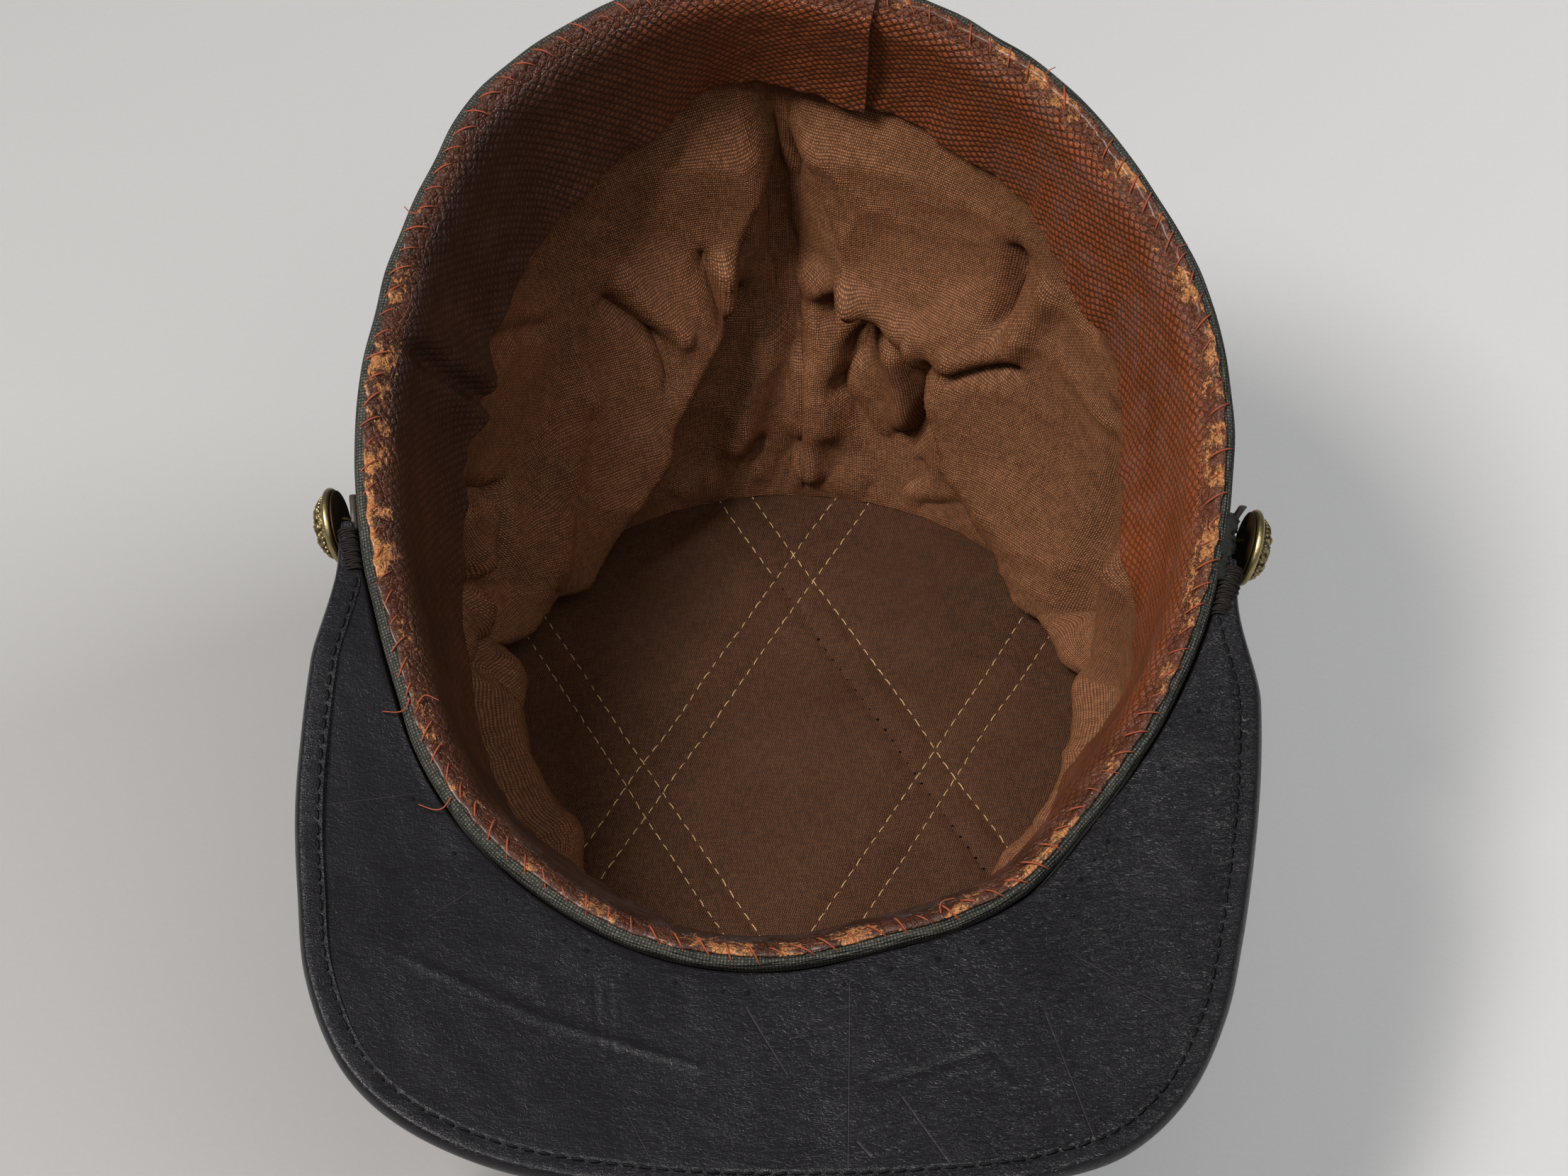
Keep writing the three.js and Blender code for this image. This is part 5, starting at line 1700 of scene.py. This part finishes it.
def faces_turn(faces, ring):
    """Whether the faces beside a ring already run along it in its own order."""
    first, second = ring[0], ring[1]
    for face in faces:
        if first in face and second in face:
            return face[(face.index(first) + 1) % len(face)] == second
    raise ValueError("no face lies beside the ring")


class KEPI_OT_buttons(bpy.types.Operator):
    """Makes the two brass buttons, each with a face, a back plate and a shank"""

    bl_idname = "kepi.buttons"
    bl_label = "Buttons"

    def execute(self, context):
        brass = brass_material(looks()[1])
        for side, name in enumerate(("left", "right")):
            place = self.seat(BUTTON_AZIMUTH[name])
            face = dome_object(f"button_face_{name}_brass", side)
            ring = np.linspace(0, 2 * np.pi, 73)
            radius, height = dome_profile(BORDER_RISE)
            path = np.stack([radius * np.cos(ring), radius * np.sin(ring), 0 * ring + height], -1)
            beads = repeat_along(
                f"button_beads_{name}", [(path, UP)], bead_unit("border_bead", BORDER_BEAD), brass,
                pitch=BORDER_PITCH, size_spread=0.12, seed=side)
            write_values(beads.data, "relief", np.full(len(beads.data.vertices), 0.8))
            back = self.back(f"button_back_{name}_brass")
            shank = self.shank(f"button_shank_{name}_brass")
            pieces = ((face, "face"), (beads, None), (back, "back"), (shank, "shank"))
            for piece, node in pieces:
                piece.data.transform(place)
                dress(piece, brass, [f"button_{node}_{name}"] if node else ())
        return {"FINISHED"}

    def seat(self, azimuth):
        """The button's place, with +Z along its axis and its origin at the back plate."""
        inward = rim_inward(np.array(azimuth))
        lean = BUTTON_TILT
        out = np.array([-inward[0], 0, 0]) - inward[1] * FORWARD
        axis = Vector(out * math.cos(lean) - OUTWARD * math.sin(lean))
        middle = Vector(band_point(np.array(azimuth), STRAP_MIDDLE, 0.0))
        clear = STRAP_GAP + STRAP_THICK + BUTTON_STAND
        turn = Vector((0, 0, 1)).rotation_difference(axis).to_matrix().to_4x4()
        turn.translation = middle + axis * clear
        return turn

    def back(self, name):
        radius = BUTTON_RADIUS - BUTTON_FLAT
        half = BUTTON_PLATE / 2

        def face(sign):
            return lambda x, y: sign * half * (1 - 0.6 * clamp(np.hypot(x, y) / radius) ** 12)

        return disc_object(name, radius, 40, face(1), face(-1), {"relief": lambda x, y: 0.15 + 0 * x})

    def shank(self, name):
        foot = BUTTON_STAND - SHANK_CLEAR
        turn = np.linspace(0, np.pi, 25)
        drop = foot - SHANK_ROOT - SHANK_WIRE
        path = np.stack([SHANK_LOOP * np.cos(turn), 0 * turn, -SHANK_ROOT - drop * np.sin(turn)], -1)
        wire = tube_points(path, SHANK_WIRE, 10)
        return loft(name, wire, attributes={"relief": np.full(wire.shape[:2], 0.16)}, sharp=70)


class KEPI_OT_stage(bpy.types.Operator):
    """Makes the pale table, the soft studio light and the camera"""

    bl_idname = "kepi.stage"
    bl_label = "Stage"

    def execute(self, context):
        paper = bpy.data.collections.new("table_only")
        context.scene.collection.children.link(paper)
        paper.objects.link(self.table())
        for name, place, aim, size, power, tint, lit in LIGHTS:
            light = bpy.data.lights.new(name, "AREA")
            light.size = size
            light.energy = power
            light.color = tint
            made = add_object(name, light)
            made.location = place
            made.rotation_euler = (Vector(aim) - Vector(place)).to_track_quat("-Z", "Y").to_euler()
            if lit == "table":
                made.light_linking.receiver_collection = paper
        world = bpy.data.worlds.new("studio")
        world.use_nodes = True
        background = world.node_tree.nodes["Background"].inputs
        background["Color"].default_value = WORLD_COLOUR
        background["Strength"].default_value = WORLD_STRENGTH
        context.scene.world = world
        lens = bpy.data.cameras.new("camera")
        lens.sensor_width = 36.0
        lens.lens = CAMERA_LENS
        camera = add_object("camera", lens)
        camera.location = CAMERA_PLACE
        camera.rotation_euler = (math.radians(90 - CAMERA_DOWN), 0, 0)
        context.scene.camera = camera
        context.scene.view_settings.view_transform = "Standard"
        return {"FINISHED"}

    def table(self):
        """A pale sweep of paper that the cap rests on."""
        material, nodes, shader = new_material("pale_paper", Roughness=0.75)
        solid = nodes.solid_place()
        grain = nodes.noise(solid, 1.2 * MM, detail=3)
        nodes.put(shader.inputs["Base Color"], nodes.mix(grain, PAPER_DARK, PAPER_LIGHT))
        nodes.put(shader.inputs["Normal"], nodes.bump(grain, 0.1 * MM, 0.3))
        half, rise, bend = 1.6, 1.2, 0.5
        part = np.linspace(0, np.pi / 2, 16)
        y = np.concatenate([[-half], half - bend + bend * np.sin(part), [half]])
        z = np.concatenate([[0], bend - bend * np.cos(part), [rise]])
        points = [(x, *row) for x in (-2 * half, 2 * half) for row in zip(y, z)]
        count = len(y)
        faces = [(row, count + row, count + row + 1, row + 1) for row in range(count - 1)]
        mesh = bpy.data.meshes.new("table")
        mesh.from_pydata(points, [], faces)
        mesh.shade_smooth()
        mesh.materials.append(material)
        table = add_object("table", mesh)
        return table


PIECES = (
    KEPI_OT_outer_cloth, KEPI_OT_side_lining, KEPI_OT_crown_lining, KEPI_OT_sweatband,
    KEPI_OT_visor, KEPI_OT_rim_stitching, KEPI_OT_chin_strap, KEPI_OT_buttons, KEPI_OT_stage,
)


class KEPI_PT_panel(bpy.types.Panel):
    """Lists the cap's sizes, colours and pieces"""

    bl_idname = "KEPI_PT_panel"
    bl_label = "Kepi cap"
    bl_space_type = "VIEW_3D"
    bl_region_type = "UI"
    bl_category = "Kepi"

    def draw(self, context):
        column = self.layout.column()
        for group in (context.scene.kepi_sizes, context.scene.kepi_colours):
            for key in group.__annotations__:
                column.prop(group, key)
        for piece in PIECES:
            column.operator(piece.bl_idname)


CLASSES = (KepiSizes, KepiColours, *PIECES, KEPI_PT_panel)


def register():
    for each in CLASSES:
        bpy.utils.register_class(each)
    bpy.types.Scene.kepi_sizes = bpy.props.PointerProperty(type=KepiSizes)
    bpy.types.Scene.kepi_colours = bpy.props.PointerProperty(type=KepiColours)


def unregister():
    del bpy.types.Scene.kepi_colours
    del bpy.types.Scene.kepi_sizes
    for each in reversed(CLASSES):
        bpy.utils.unregister_class(each)


def main():
    register()
    for piece in PIECES:
        group, name = piece.bl_idname.split(".")
        getattr(getattr(bpy.ops, group), name)()


if __name__ == "__main__":
    main()
